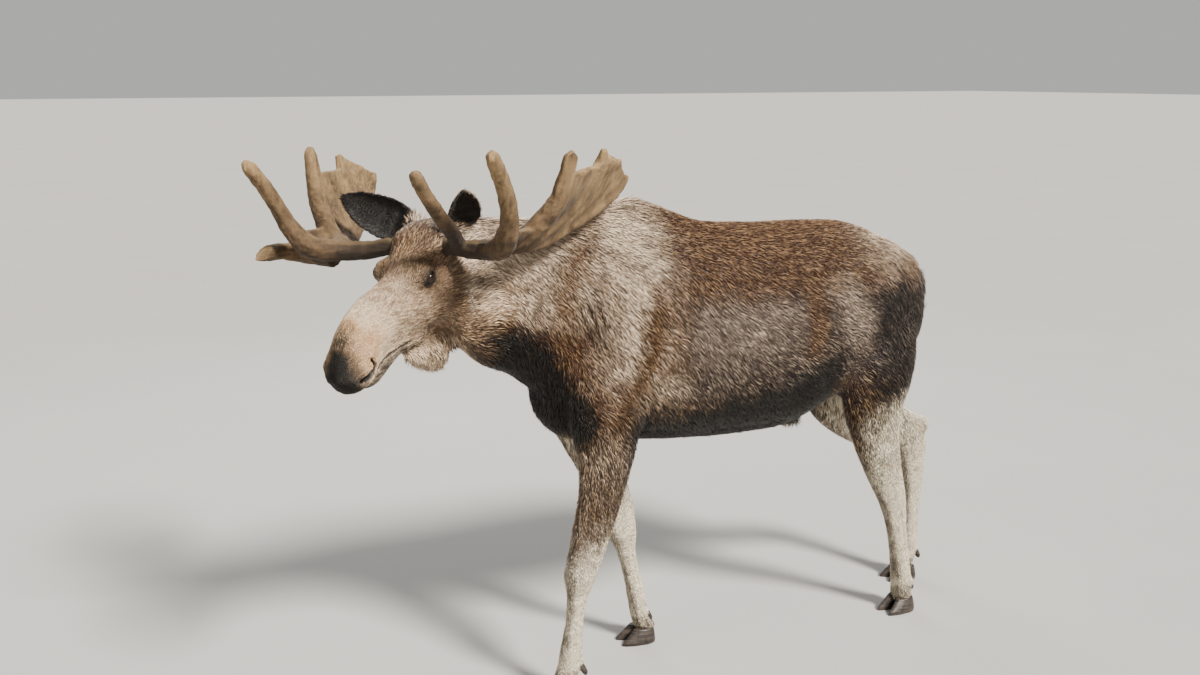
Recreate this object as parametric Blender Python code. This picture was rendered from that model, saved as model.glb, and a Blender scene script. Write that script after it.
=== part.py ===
"""A bull moose in summer coat, its antlers in velvet, walking: a still, life-size model.

The animal's own frame has X towards its rump, -Y towards its left side and Z up, with the ground
at Z = 0. The flesh is modelled whole, as overlapping lofts that a voxel remesh fuses, and is then
parted with thin cuts. The antlers, ears, eyes, claws and dewclaws are bodies of their own.
"""

import math

import bmesh
import bpy
import numpy as np
from mathutils import Matrix, Vector

GAP = 0.0003  # between neighbouring solids
FLESH_VOXEL = 0.010
FLESH_TRIANGLES = 4500
ANTLER_VOXEL = 0.0065
ANTLER_TRIANGLES = 760
HOOF_TOP = 0.062
ORIGIN = Vector((-0.3732, 0.0419, 0.0))  # the ground under the middle of the animal's box

# The head's frame: the poll, where head meets neck, and the way the head points.
POLL = Vector((-1.284, -0.045, 1.816))
HEAD_FORWARD = Vector((-0.692, -0.472, -0.546)).normalized()
HEAD_LEFT = Vector((0.561, -0.828, 0.005)).normalized()
HEAD_UP = HEAD_FORWARD.cross(HEAD_LEFT).normalized()
EYE_PLACE = (0.228, 0.101, -0.054)  # forward, outward and up from the poll
EYE_RADIUS = 0.0225

# The antlers' frame is turned a little on the head, and its two bases stand apart.
ANTLER_MIDDLE = (0.108, 0.0, -0.028)
ANTLER_YAW = math.radians(8.4)
ANTLER_ROLL = math.radians(-2.1)
BASE_APART = 0.104  # of each base from the middle

for old in list(bpy.data.objects):
    bpy.data.objects.remove(old, do_unlink=True)


# ---- Helpers: smooth tables, lofts, meshes and cuts ----

def smooth_rows(rows, steps):
    """Rows of numbers, with `steps` Catmull-Rom steps between each two of them."""
    table = np.array(rows, float)
    padded = np.vstack([2 * table[0] - table[1], table, 2 * table[-1] - table[-2]])
    found = []
    for span in range(len(table) - 1):
        a, b, c, d = padded[span:span + 4]
        for step in range(steps):
            t = step / steps
            cubic = (-a + 3 * b - 3 * c + d) * t ** 3 + (2 * a - 5 * b + 4 * c - d) * t ** 2
            found.append(0.5 * (cubic + (c - a) * t + 2 * b))
    found.append(table[-1])
    return found


def add_loft(bm, rings):
    """A closed body through rings of points, which all have the same count."""
    loops = []
    for spots in rings:
        verts = bmesh.ops.create_circle(bm, segments=len(spots))["verts"]
        for vert, spot in zip(verts, spots):
            vert.co = spot
        loops.append(list({edge for vert in verts for edge in vert.link_edges}))
    for first, second in zip(loops, loops[1:]):
        bmesh.ops.bridge_loops(bm, edges=first + second)
    for end in (loops[0], loops[-1]):
        bmesh.ops.edgeloop_fill(bm, edges=end)


def signed_power(value, power):
    return math.copysign(abs(value) ** power, value)


def tube_rings(rows, steps=4, sides=20, across=Vector((0, 1, 0))):
    """Rings along a path. Each row holds x, y, z, the radius in the plane of the bend, and the
    radius towards `across`."""
    table = smooth_rows(rows, steps)
    spots = [Vector(row[:3]) for row in table]
    rings = []
    for index, row in enumerate(table):
        before = spots[max(index - 1, 0)]
        after = spots[min(index + 1, len(spots) - 1)]
        along = (after - before).normalized()
        side = (across - along * across.dot(along)).normalized()
        depth = along.cross(side)
        ring = []
        for step in range(sides):
            turn = 2 * math.pi * step / sides
            ring.append(spots[index] + depth * row[3] * math.cos(turn)
                        + side * row[4] * math.sin(turn))
        rings.append(ring)
    return rings


def mesh_object(name, bm, recalculate=True):
    if recalculate:
        bmesh.ops.recalc_face_normals(bm, faces=bm.faces)
    mesh = bpy.data.meshes.new(name)
    bm.to_mesh(mesh)
    bm.free()
    made = bpy.data.objects.new(name, mesh)
    bpy.context.scene.collection.objects.link(made)
    return made


def apply_modifiers(item):
    """Makes what the modifiers give the object's own mesh."""
    graph = bpy.context.evaluated_depsgraph_get()
    mesh = bpy.data.meshes.new_from_object(item.evaluated_get(graph))
    item.modifiers.clear()
    old = item.data
    item.data = mesh
    bpy.data.meshes.remove(old)


def even_out(mesh, rounds):
    """Smooths a mesh without shrinking it, by Taubin's pairs of passes."""
    count = len(mesh.vertices)
    spots = np.empty(count * 3)
    mesh.vertices.foreach_get("co", spots)
    spots = spots.reshape(-1, 3)
    ends = np.empty(len(mesh.edges) * 2, np.int64)
    mesh.edges.foreach_get("vertices", ends)
    ends = ends.reshape(-1, 2)
    valence = np.bincount(ends.ravel(), minlength=count)[:, None]
    for turn in range(rounds * 2):
        total = np.zeros_like(spots)
        np.add.at(total, ends[:, 0], spots[ends[:, 1]])
        np.add.at(total, ends[:, 1], spots[ends[:, 0]])
        share = 0.6 if turn % 2 == 0 else -0.62
        spots = spots + share * (total / valence - spots)
    mesh.vertices.foreach_set("co", spots.ravel())
    mesh.update()


def fuse(item, voxel, rounds, triangles):
    """One even skin over all the overlapping bodies of an object, in so many triangles."""
    remesh = item.modifiers.new("fuse", "REMESH")
    remesh.mode = "VOXEL"
    remesh.voxel_size = voxel
    apply_modifiers(item)
    even_out(item.data, rounds)
    item.data.calc_loop_triangles()
    decimate = item.modifiers.new("thin_out", "DECIMATE")
    decimate.ratio = triangles / len(item.data.loop_triangles)
    apply_modifiers(item)


def combined(item, other, operation):
    """Applies one exact Boolean to an object."""
    step = item.modifiers.new("cut", "BOOLEAN")
    step.operation = operation
    step.object = other
    apply_modifiers(item)


def copy_of(item, name):
    made = item.copy()
    made.data = item.data.copy()
    made.name = name
    bpy.context.scene.collection.objects.link(made)
    return made


def grown(item, by):
    """A copy of an object, each face moved out by about `by`."""
    made = copy_of(item, item.name + "_grown")
    bm = bmesh.new()
    bm.from_mesh(made.data)
    bm.normal_update()
    moves = []
    for vert in bm.verts:
        share = max(vert.calc_shell_factor(), 1.0)
        moves.append(vert.normal * by * min(share, 1.8))
    for vert, move in zip(bm.verts, moves):
        vert.co += move
    bm.to_mesh(made.data)
    bm.free()
    return made


def block(name, near, far):
    """A six-sided cutter between two four-cornered faces."""
    bm = bmesh.new()
    add_loft(bm, [[Vector(corner) for corner in near], [Vector(corner) for corner in far]])
    return mesh_object(name, bm)


def keep_largest(item):
    """Drops the crumbs that a cut may leave beside the body itself."""
    bm = bmesh.new()
    bm.from_mesh(item.data)
    left = set(bm.verts)
    parts = []
    while left:
        part = {left.pop()}
        edge_of = list(part)
        while edge_of:
            vert = edge_of.pop()
            for link in vert.link_edges:
                other = link.other_vert(vert)
                if other in left:
                    left.discard(other)
                    part.add(other)
                    edge_of.append(other)
        parts.append(part)
    parts.sort(key=len)
    crumbs = [vert for part in parts[:-1] for vert in part]
    bmesh.ops.delete(bm, geom=crumbs, context="VERTS")
    bm.to_mesh(item.data)
    bm.free()


def part_off(whole, name, cutter):
    """Takes the piece inside the cutter off the whole, with a thin gap left between them."""
    piece = copy_of(whole, name)
    combined(piece, cutter, "INTERSECT")
    keep_largest(piece)
    wider = grown(cutter, GAP)
    combined(whole, wider, "DIFFERENCE")
    keep_largest(whole)
    for used in (cutter, wider):
        bpy.data.objects.remove(used, do_unlink=True)
    return piece


def head_point(forward, left, up):
    return POLL + HEAD_FORWARD * forward + HEAD_LEFT * left + HEAD_UP * up


# ---- Trunk: x, top, widest height, bottom, half width, and how sharp its back and belly are ----

TRUNK_ROWS = [
    (-0.900, 1.290, 1.20, 1.095, 0.060, 1.0, 1.0),
    (-0.865, 1.440, 1.22, 1.030, 0.135, 1.0, 0.95),
    (-0.790, 1.640, 1.25, 0.968, 0.205, 1.1, 0.95),
    (-0.660, 1.810, 1.30, 0.945, 0.248, 1.3, 0.95),
    (-0.510, 1.858, 1.30, 0.925, 0.268, 1.4, 0.95),
    (-0.370, 1.812, 1.28, 0.908, 0.282, 1.25, 0.95),
    (-0.200, 1.752, 1.27, 0.894, 0.296, 1.1, 0.95),
    (0.000, 1.734, 1.27, 0.886, 0.304, 1.05, 0.95),
    (0.180, 1.729, 1.28, 0.896, 0.296, 1.05, 0.95),
    (0.360, 1.723, 1.30, 0.965, 0.272, 1.0, 0.95),
    (0.500, 1.706, 1.34, 1.010, 0.256, 0.95, 0.95),
    (0.640, 1.655, 1.36, 1.050, 0.232, 0.95, 0.9),
    (0.770, 1.596, 1.36, 1.090, 0.182, 1.0, 0.95),
    (0.855, 1.520, 1.33, 1.110, 0.116, 1.05, 1.0),
    (0.912, 1.385, 1.27, 1.160, 0.050, 1.0, 1.0),
]


def trunk_rings():
    rings = []
    for x, top, wide, bottom, half, back, belly in smooth_rows(TRUNK_ROWS, 3):
        ring = []
        for step in range(36):
            turn = 2 * math.pi * step / 36
            power = back if math.cos(turn) > 0 else belly
            reach = top - wide if math.cos(turn) > 0 else wide - bottom
            ring.append(Vector((x, half * signed_power(math.sin(turn), power),
                                wide + reach * signed_power(math.cos(turn), power))))
        rings.append(ring)
    return rings


# ---- Neck: x, y, top, bottom, half width ----

NECK_ROWS = [
    (-0.560, 0.000, 1.850, 1.02, 0.200),
    (-0.740, 0.000, 1.826, 1.04, 0.205),
    (-0.870, -0.005, 1.806, 1.13, 0.176),
    (-1.000, -0.012, 1.812, 1.232, 0.156),
    (-1.120, -0.026, 1.822, 1.290, 0.142),
    (-1.230, -0.052, 1.815, 1.390, 0.122),
    (-1.290, -0.085, 1.770, 1.500, 0.085),
]


def neck_rings():
    rings = []
    for x, y, top, bottom, half in smooth_rows(NECK_ROWS, 4):
        middle = (top + bottom) / 2
        ring = []
        for step in range(32):
            turn = 2 * math.pi * step / 32
            height = (top - bottom) / 2 * math.cos(turn)
            # The crest is narrower than the throat.
            width = half * (1 - 0.22 * math.cos(turn))
            ring.append(Vector((x, y + width * math.sin(turn), middle + height)))
        rings.append(ring)
    return rings


# ---- Head: forward, top, bottom, and the half widths at brow, cheek and jaw ----

SKULL_ROWS = [
    (-0.110, -0.060, -0.240, 0.040, 0.060, 0.040),
    (-0.060, -0.018, -0.300, 0.072, 0.092, 0.062),
    (0.000, 0.010, -0.335, 0.088, 0.104, 0.074),
    (0.070, 0.042, -0.345, 0.098, 0.106, 0.078),
    (0.140, 0.044, -0.338, 0.098, 0.106, 0.078),
    (0.210, 0.022, -0.318, 0.086, 0.104, 0.072),
    (0.280, 0.006, -0.285, 0.072, 0.092, 0.060),
    (0.350, 0.014, -0.240, 0.056, 0.070, 0.050),
    (0.420, 0.032, -0.205, 0.055, 0.064, 0.050),
    (0.490, 0.033, -0.174, 0.061, 0.071, 0.060),
    (0.545, 0.018, -0.168, 0.067, 0.080, 0.070),
    (0.592, -0.006, -0.174, 0.068, 0.084, 0.072),
    (0.632, -0.034, -0.180, 0.060, 0.079, 0.068),
    (0.664, -0.066, -0.168, 0.042, 0.060, 0.048),
    (0.682, -0.098, -0.148, 0.016, 0.026, 0.016),
]
CHIN_ROWS = [
    (0.300, -0.225, -0.296, 0.036, 0.046, 0.038),
    (0.380, -0.190, -0.246, 0.036, 0.044, 0.036),
    (0.450, -0.168, -0.224, 0.038, 0.046, 0.038),
    (0.520, -0.160, -0.218, 0.042, 0.050, 0.042),
    (0.575, -0.160, -0.216, 0.040, 0.050, 0.040),
    (0.612, -0.168, -0.202, 0.018, 0.028, 0.018),
]
BELL_ROWS = [
    (0.398, -0.232, -0.272, 0.006, 0.014, 0.008),
    (0.375, -0.236, -0.330, 0.012, 0.026, 0.022),
    (0.330, -0.262, -0.400, 0.018, 0.032, 0.030),
    (0.270, -0.290, -0.447, 0.020, 0.034, 0.034),
    (0.215, -0.320, -0.446, 0.020, 0.032, 0.030),
    (0.175, -0.325, -0.405, 0.014, 0.022, 0.016),
]
ORBIT = (0.222, 0.070, -0.050, 0.046)  # forward, outward, up and radius of the eye's bony ring
NOSTRIL_WING = (0.606, 0.056, -0.112, 0.034)


def head_rings(rows):
    rings = []
    for forward, top, bottom, brow, cheek, jaw in smooth_rows(rows, 3):
        ring = []
        for step in range(32):
            turn = 2 * math.pi * step / 32
            down = (1 - math.cos(turn)) / 2
            # A parabola through the three half widths, at 15, 50 and 85 hundredths of the depth.
            slope = (jaw - brow) / 0.7
            bend = ((brow + jaw) / 2 - cheek) / 0.1225
            width = max(cheek + slope * (down - 0.5) + bend * (down - 0.5) ** 2, 0.004)
            rounding = signed_power(math.sin(turn), 0.72)
            up = top + (bottom - top) * down
            ring.append(head_point(forward, width * rounding, up))
        rings.append(ring)
    return rings


def add_ball(bm, centre, radius, detail=3):
    turn = Matrix((HEAD_FORWARD, HEAD_LEFT, HEAD_UP)).transposed().to_4x4()
    place = Matrix.Translation(centre) @ turn @ Matrix.Diagonal((radius, radius, radius, 1))
    bmesh.ops.create_icosphere(bm, subdivisions=detail, radius=1, matrix=place)


# ---- Legs: the line down each leg, and the girth that both legs of a pair share ----

FORE_GIRTH = [(0.11, 0.05), (0.175, 0.085), (0.155, 0.088), (0.116, 0.078), (0.090, 0.064),
              (0.077, 0.054), (0.063, 0.050), (0.042, 0.037), (0.037, 0.032), (0.044, 0.039),
              (0.038, 0.044)]
FORE_LINES = {
    "left": [(-0.52, -0.12, 1.60), (-0.63, -0.160, 1.33), (-0.69, -0.185, 1.10),
             (-0.700, -0.190, 0.93), (-0.722, -0.188, 0.78), (-0.765, -0.182, 0.61),
             (-0.797, -0.175, 0.49), (-0.808, -0.170, 0.40), (-0.818, -0.167, 0.30),
             (-0.832, -0.163, 0.185), (-0.856, -0.162, 0.045)],
    "right": [(-0.52, 0.12, 1.60), (-0.63, 0.160, 1.33), (-0.645, 0.182, 1.10),
              (-0.600, 0.178, 0.93), (-0.540, 0.160, 0.77), (-0.482, 0.142, 0.61),
              (-0.453, 0.133, 0.49), (-0.435, 0.130, 0.40), (-0.412, 0.130, 0.30),
              (-0.382, 0.130, 0.185), (-0.362, 0.130, 0.045)],
}
HIND_GIRTH = [(0.175, 0.090), (0.188, 0.105), (0.160, 0.092), (0.120, 0.068), (0.092, 0.052),
              (0.068, 0.042), (0.049, 0.035), (0.047, 0.041), (0.040, 0.044)]
HIND_LINES = {
    "left": [(0.63, -0.110, 1.42), (0.578, -0.158, 1.16), (0.556, -0.172, 0.99),
             (0.580, -0.165, 0.84), (0.642, -0.152, 0.675), (0.706, -0.148, 0.520),
             (0.745, -0.145, 0.360), (0.778, -0.140, 0.185), (0.788, -0.140, 0.045)],
    "right": [(0.65, 0.110, 1.42), (0.620, 0.158, 1.14), (0.618, 0.172, 0.955),
              (0.785, 0.158, 0.785), (1.018, 0.135, 0.705), (1.062, 0.130, 0.545),
              (1.062, 0.125, 0.370), (1.050, 0.120, 0.185), (1.032, 0.120, 0.045)],
}
# The point of the hock stands out of the leg's line.
HOCK_POINTS = {"left": (0.684, -0.152, 0.700), "right": (1.092, 0.135, 0.726)}
HOCK_RADIUS = 0.046


def leg_rows(line, girth):
    return [(*spot, *size) for spot, size in zip(line, girth)]


# ---- Tail ----

TAIL_ROWS = [(0.870, 0, 1.470, 0.040, 0.052), (0.908, 0, 1.425, 0.034, 0.046),
             (0.928, 0, 1.375, 0.026, 0.036), (0.936, 0, 1.325, 0.018, 0.024),
             (0.936, 0, 1.290, 0.009, 0.011)]
SHEATH_ROWS = [(0.120, 0, 0.930, 0.030, 0.034), (0.200, 0, 0.912, 0.034, 0.034),
               (0.270, 0, 0.905, 0.034, 0.030), (0.318, 0, 0.902, 0.020, 0.018)]


def flesh_object():
    bm = bmesh.new()
    add_loft(bm, trunk_rings())
    add_loft(bm, neck_rings())
    for rows in (SKULL_ROWS, CHIN_ROWS, BELL_ROWS):
        add_loft(bm, head_rings(rows))
    for side in (1, -1):
        for forward, out, up, radius in (ORBIT, NOSTRIL_WING):
            add_ball(bm, head_point(forward, side * out, up), radius)
    for side in ("left", "right"):
        add_loft(bm, tube_rings(leg_rows(FORE_LINES[side], FORE_GIRTH)))
        add_loft(bm, tube_rings(leg_rows(HIND_LINES[side], HIND_GIRTH)))
        point = Vector(HOCK_POINTS[side])
        bmesh.ops.create_icosphere(bm, subdivisions=3, radius=HOCK_RADIUS,
                                   matrix=Matrix.Translation(point))
    add_loft(bm, tube_rings(TAIL_ROWS))
    add_loft(bm, tube_rings(SHEATH_ROWS))
    return mesh_object("trunk", bm)


# ---- Ears: a stalk that opens into a cupped leaf ----

EAR_ROOT = (-0.015, 0.092, -0.060)
EAR_TIPS = {"left": (0.030, 0.200, 0.150), "right": (0.010, 0.340, 0.085)}
EAR_OPENING = {"left": (0.60, 0.80, -0.20), "right": (0.72, -0.30, 0.62)}
EAR_SKIN = 0.008
EAR_SAG = {"left": 0.0, "right": 0.32}  # how much wider the ear's lower half hangs
# Along the ear: share of its length, half width, depth of the cup, and how open it is.
EAR_ROWS = [(0.00, 0.030, 0.026, 0.0), (0.14, 0.050, 0.034, 0.05), (0.28, 0.063, 0.036, 0.75),
            (0.45, 0.064, 0.035, 1.0), (0.62, 0.057, 0.029, 1.0), (0.78, 0.045, 0.021, 1.0),
            (0.91, 0.026, 0.012, 0.7), (1.00, 0.007, 0.005, 0.0)]


def ear_object(name, side):
    sign = 1 if side == "left" else -1
    root = head_point(EAR_ROOT[0], sign * EAR_ROOT[1], EAR_ROOT[2])
    forward, out, up = EAR_TIPS[side]
    tip = head_point(forward, sign * out, up)
    along = (tip - root).normalized()
    forward, out, up = EAR_OPENING[side]
    opening = HEAD_FORWARD * forward + HEAD_LEFT * sign * out + HEAD_UP * up
    opening = (opening - along * opening.dot(along)).normalized()
    across = along.cross(opening)
    lower = -math.copysign(1, across.z)
    rings = []
    for share, half, cup, hollow in smooth_rows(EAR_ROWS, 1):
        middle = root.lerp(tip, share) + opening * 0.012 * math.sin(math.pi * share)
        ring = []
        for step in range(9):
            turn = math.radians(-100 + 25 * step)
            reach = half * math.sin(turn)
            reach *= 1 + EAR_SAG[side] * (reach * lower > 0)
            ring.append(middle + across * reach - opening * cup * math.cos(turn))
        for step in range(7):
            turn = math.radians(75 - 25 * step)
            reach = max(half - EAR_SKIN, 0.3 * half) * math.sin(turn)
            reach *= 1 + EAR_SAG[side] * (reach * lower > 0)
            inner = max(cup - EAR_SKIN, 0.0) * hollow - 0.35 * cup * (1 - hollow)
            ring.append(middle + across * reach - opening * inner * math.cos(turn))
        rings.append(ring)
    bm = bmesh.new()
    add_loft(bm, rings)
    return mesh_object(name, bm)


# ---- Antlers: lines of points forward, outward and up from the base, with radii ----

BEAM = [(0.0, -0.050, -0.020, 0.030), (0.0, 0.000, 0.0, 0.031), (0.010, 0.070, -0.008, 0.032),
        (0.024, 0.150, 0.000, 0.036), (0.036, 0.210, 0.018, 0.039)]
UPRIGHT = [(0.024, 0.150, 0.000, 0.036), (0.078, 0.246, 0.060, 0.040),
           (0.074, 0.294, 0.146, 0.033), (0.064, 0.310, 0.230, 0.029),
           (0.070, 0.317, 0.325, 0.027), (0.084, 0.322, 0.404, 0.025),
           (0.088, 0.323, 0.428, 0.013)]
BROW = {
    "left": [(0.004, 0.040, -0.004, 0.026), (0.050, 0.072, 0.090, 0.027),
             (0.092, 0.082, 0.184, 0.026), (0.126, 0.084, 0.298, 0.024),
             (0.142, 0.086, 0.386, 0.023), (0.145, 0.086, 0.410, 0.012)],
    "right": [(0.045, 0.200, -0.002, 0.044), (0.034, 0.310, -0.004, 0.037),
              (0.054, 0.378, 0.026, 0.032), (0.112, 0.392, 0.068, 0.029),
              (0.162, 0.394, 0.102, 0.025), (0.180, 0.395, 0.114, 0.012)],
}
# The palm's four points, from the front one back. Each line starts at the fork.
PALM = [
    [(0.010, 0.200, 0.010, 0.034), (-0.040, 0.246, -0.012, 0.034), (-0.100, 0.302, 0.012, 0.035),
     (-0.172, 0.350, 0.046, 0.033), (-0.238, 0.374, 0.100, 0.028), (-0.280, 0.386, 0.140, 0.025),
     (-0.294, 0.390, 0.156, 0.013)],
    [(0.005, 0.205, 0.000, 0.032), (-0.093, 0.250, -0.060, 0.028), (-0.233, 0.308, -0.086, 0.024),
     (-0.356, 0.365, -0.066, 0.022), (-0.445, 0.402, -0.026, 0.021), (-0.474, 0.412, -0.006, 0.018),
     (-0.484, 0.415, 0.002, 0.010)],
    [(0.000, 0.205, -0.008, 0.030), (-0.118, 0.252, -0.086, 0.024), (-0.240, 0.296, -0.124, 0.021),
     (-0.360, 0.340, -0.145, 0.019), (-0.470, 0.380, -0.148, 0.018), (-0.545, 0.408, -0.135, 0.016),
     (-0.560, 0.413, -0.131, 0.009)],
    [(-0.004, 0.205, -0.016, 0.030), (-0.134, 0.258, -0.106, 0.026), (-0.262, 0.302, -0.155, 0.023),
     (-0.390, 0.346, -0.195, 0.021), (-0.510, 0.384, -0.220, 0.020), (-0.590, 0.404, -0.220, 0.017),
     (-0.606, 0.408, -0.219, 0.010)],
]
PALM_THICKNESS = 0.026
# How far each point is swung forward, outward and up at its tip: the two palms aren't alike, and
# the left one stands further off the withers.
PALM_SWING = {
    "left": [(0.066, 0.035, 0.040), (0.066, 0.035, 0.060), (0.052, 0.045, 0.082),
             (0.058, 0.040, 0.070)],
    "right": [(0.0, -0.020, 0.054), (0.0, 0.0, 0.036), (0.0, -0.006, 0.064), (0.0, -0.015, 0.082)],
}


def antler_frame():
    left = HEAD_LEFT * math.cos(ANTLER_ROLL) + HEAD_UP * math.sin(ANTLER_ROLL)
    up = HEAD_UP * math.cos(ANTLER_ROLL) - HEAD_LEFT * math.sin(ANTLER_ROLL)
    forward = HEAD_FORWARD * math.cos(ANTLER_YAW) + left * math.sin(ANTLER_YAW)
    out = left * math.cos(ANTLER_YAW) - HEAD_FORWARD * math.sin(ANTLER_YAW)
    return head_point(*ANTLER_MIDDLE), forward, out, up


def antler_point(sign, forward, out, up):
    middle, ahead, left, above = antler_frame()
    return middle + ahead * forward + left * sign * (BASE_APART + out) + above * up


def tine_rows(sign, line, swing=(0, 0, 0)):
    """A tine's rows for tube_rings, swung away more and more towards its tip."""
    rows = []
    for index, (forward, out, up, radius) in enumerate(line):
        share = index / (len(line) - 1)
        spot = antler_point(sign, forward + swing[0] * share, out + swing[1] * share,
                            up + swing[2] * share)
        rows.append((*spot, radius, radius))
    return rows


def web_rings(lines, first, last):
    """A thin plate across neighbouring tines, between two shares of their length."""
    tables = [np.array(smooth_rows(line, 4)) for line in lines]
    length = len(tables[0])
    rings = []
    for index in range(round(first * (length - 1)), round(last * (length - 1)) + 1, 2):
        middles = [Vector(table[index][:3]) for table in tables]
        ahead = Vector(tables[0][min(index + 1, length - 1)][:3]) - middles[0]
        across = middles[-1] - middles[0]
        normal = ahead.cross(across).normalized() * PALM_THICKNESS / 2
        rings.append([spot + normal for spot in middles]
                     + [spot - normal for spot in reversed(middles)])
    return rings


def antler_object(side):
    sign = 1 if side == "left" else -1
    across = antler_frame()[3]
    palm = [tine_rows(sign, line, swing) for line, swing in zip(PALM, PALM_SWING[side])]
    upright = tine_rows(sign, UPRIGHT)
    bm = bmesh.new()
    for rows in [tine_rows(sign, BEAM), upright, tine_rows(sign, BROW[side]), *palm]:
        add_loft(bm, tube_rings(rows, 4, 14, across))
    add_loft(bm, web_rings(palm[1:], 0.0, 0.93))
    add_loft(bm, web_rings(palm[:2], 0.0, 0.66))
    add_loft(bm, web_rings([upright, palm[0]], 0.04, 0.30))
    return mesh_object("antler_palm_" + side, bm)


def antler_block(name, sign, near, far):
    """A cutter given in an antler's own frame."""
    return block(name, [antler_point(sign, *spot) for spot in near],
                 [antler_point(sign, *spot) for spot in far])


# ---- Feet: two claws and two dewclaws each ----

FEET = {
    "front_left": (FORE_LINES["left"][-1], math.radians(4)),
    "front_right": (FORE_LINES["right"][-1], math.radians(-4)),
    "hind_left": (HIND_LINES["left"][-1], math.radians(5)),
    "hind_right": (HIND_LINES["right"][-1], math.radians(-5)),
}
CLAW_GAP = 0.008
# Height, heel and toe reach behind and ahead of the pastern's middle, and half width.
CLAW_ROWS = [(0.0, 0.046, 0.104, 0.0275), (0.012, 0.048, 0.100, 0.0290),
             (0.036, 0.046, 0.072, 0.0265), (HOOF_TOP - GAP, 0.043, 0.046, 0.0220)]


def claw_object(name, foot, turn, side):
    """One claw, on its flat sole. `side` is -1 for the left claw and 1 for the right one."""
    rings = []
    for height, heel, toe, half in CLAW_ROWS:
        ring = []
        for step in range(12):
            angle = 2 * math.pi * step / 12
            along = math.cos(angle)
            length = toe if along > 0 else heel
            # The inner wall is straighter than the outer one, and the toe is pointed.
            taper = 1 - 0.30 * max(along, 0) ** 2
            wide = half * math.sin(angle) * taper
            middle = side * (CLAW_GAP / 2 + half)
            spot = Vector((-length * along, middle + wide, height))
            ring.append(Matrix.Rotation(turn, 3, "Z") @ spot + Vector((foot[0], foot[1], 0)))
        rings.append(ring)
    bm = bmesh.new()
    add_loft(bm, rings)
    return mesh_object(name, bm)


def dewclaw_object(name, fetlock, turn, side):
    """A dewclaw: a short blunt horn behind the fetlock."""
    line = [(0.014, 0.022, 0.000, 0.015), (0.034, 0.026, -0.016, 0.017),
            (0.045, 0.028, -0.036, 0.014), (0.048, 0.029, -0.048, 0.007)]
    rows = []
    for back, out, up, radius in line:
        spot = Matrix.Rotation(turn, 3, "Z") @ Vector((back, side * out, 0))
        rows.append((fetlock[0] + spot.x, fetlock[1] + spot.y, fetlock[2] + up - 0.045,
                     radius * 0.8, radius))
    bm = bmesh.new()
    add_loft(bm, tube_rings(rows, 1, 8))
    return mesh_object(name, bm)


# ---- Materials ----

FINISHES = {
    "coat_brown": ((0.17, 0.10, 0.06), 0.62),
    "coat_pale": ((0.42, 0.31, 0.22), 0.66),
    "stocking": ((0.62, 0.54, 0.42), 0.70),
    "velvet": ((0.32, 0.22, 0.14), 0.85),
    "hoof_horn": ((0.04, 0.03, 0.025), 0.45),
    "eye": ((0.02, 0.012, 0.008), 0.08),
}


def finish(item, name):
    material = bpy.data.materials.new(item.name)
    material.use_nodes = True
    shader = material.node_tree.nodes["Principled BSDF"]
    colour, roughness = FINISHES[name]
    shader.inputs["Base Color"].default_value = (*colour, 1.0)
    shader.inputs["Roughness"].default_value = roughness
    item.data.materials.clear()
    item.data.materials.append(material)


# ---- Where the flesh is parted: a cutter for each piece, its first face on the cut ----

# For each leg: the cut's ends along X, the side it is on, and the cut's heights at the middle of
# the body and out beyond the flank.
LEG_CUTS = {
    "front_left": (-1.05, -0.50, -1, 0.925, 1.20),
    "front_right": (-0.98, -0.36, 1, 0.925, 1.20),
    "hind_left": (0.34, 1.00, -1, 0.985, 1.46),
    "hind_right": (0.34, 1.30, 1, 0.985, 1.46),
}
LEG_CUT_INNER = 0.012  # how far off the middle each leg's cut begins
LEG_CUT_OUTER = 0.450


def head_block():
    poll, throat = (-0.14, 0.20), (0.20, -0.56)
    near = [head_point(forward, left, up) for (forward, up), left in
            ((poll, -0.5), (poll, 0.5), (throat, 0.5), (throat, -0.5))]
    far = [spot + HEAD_FORWARD for spot in near]
    return block("head_cut", near, far)


def bell_block():
    chin, throat = (0.43, -0.222), (0.10, -0.372)
    near = [head_point(forward, left, up) for (forward, up), left in
            ((chin, -0.2), (chin, 0.2), (throat, 0.2), (throat, -0.2))]
    far = [spot - HEAD_UP * 0.30 for spot in near]
    return block("bell_cut", near, far)


def neck_block():
    crest, chest = (-0.655, 2.0), (-0.955, 1.0)
    near = [Vector((x, y, z)) for (x, z), y in
            ((crest, -0.5), (crest, 0.5), (chest, 0.5), (chest, -0.5))]
    far = [spot - Vector((1.0, 0.0, 0.0)) for spot in near]
    return block("neck_cut", near, far)


def tail_block():
    low, high = (0.895, 1.27), (0.905, 1.45)
    near = [Vector((x, y, z)) for (x, z), y in
            ((low, -0.045), (low, 0.045), (high, 0.045), (high, -0.045))]
    far = [spot + Vector((0.2, 0.0, 0.0)) for spot in near]
    return block("tail_cut", near, far)


def leg_block(foot):
    front, rear, side, inner, outer = LEG_CUTS[foot]
    close = (side * LEG_CUT_INNER, inner)
    beyond = (side * LEG_CUT_OUTER, outer)
    near = [(x, y, z) for x, (y, z) in
            ((front, close), (front, beyond), (rear, beyond), (rear, close))]
    far = [(x, y, HOOF_TOP) for x, y, z in near]
    return block(foot + "_cut", near, far)


# ---- The flesh, whole, and then parted ----

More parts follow.
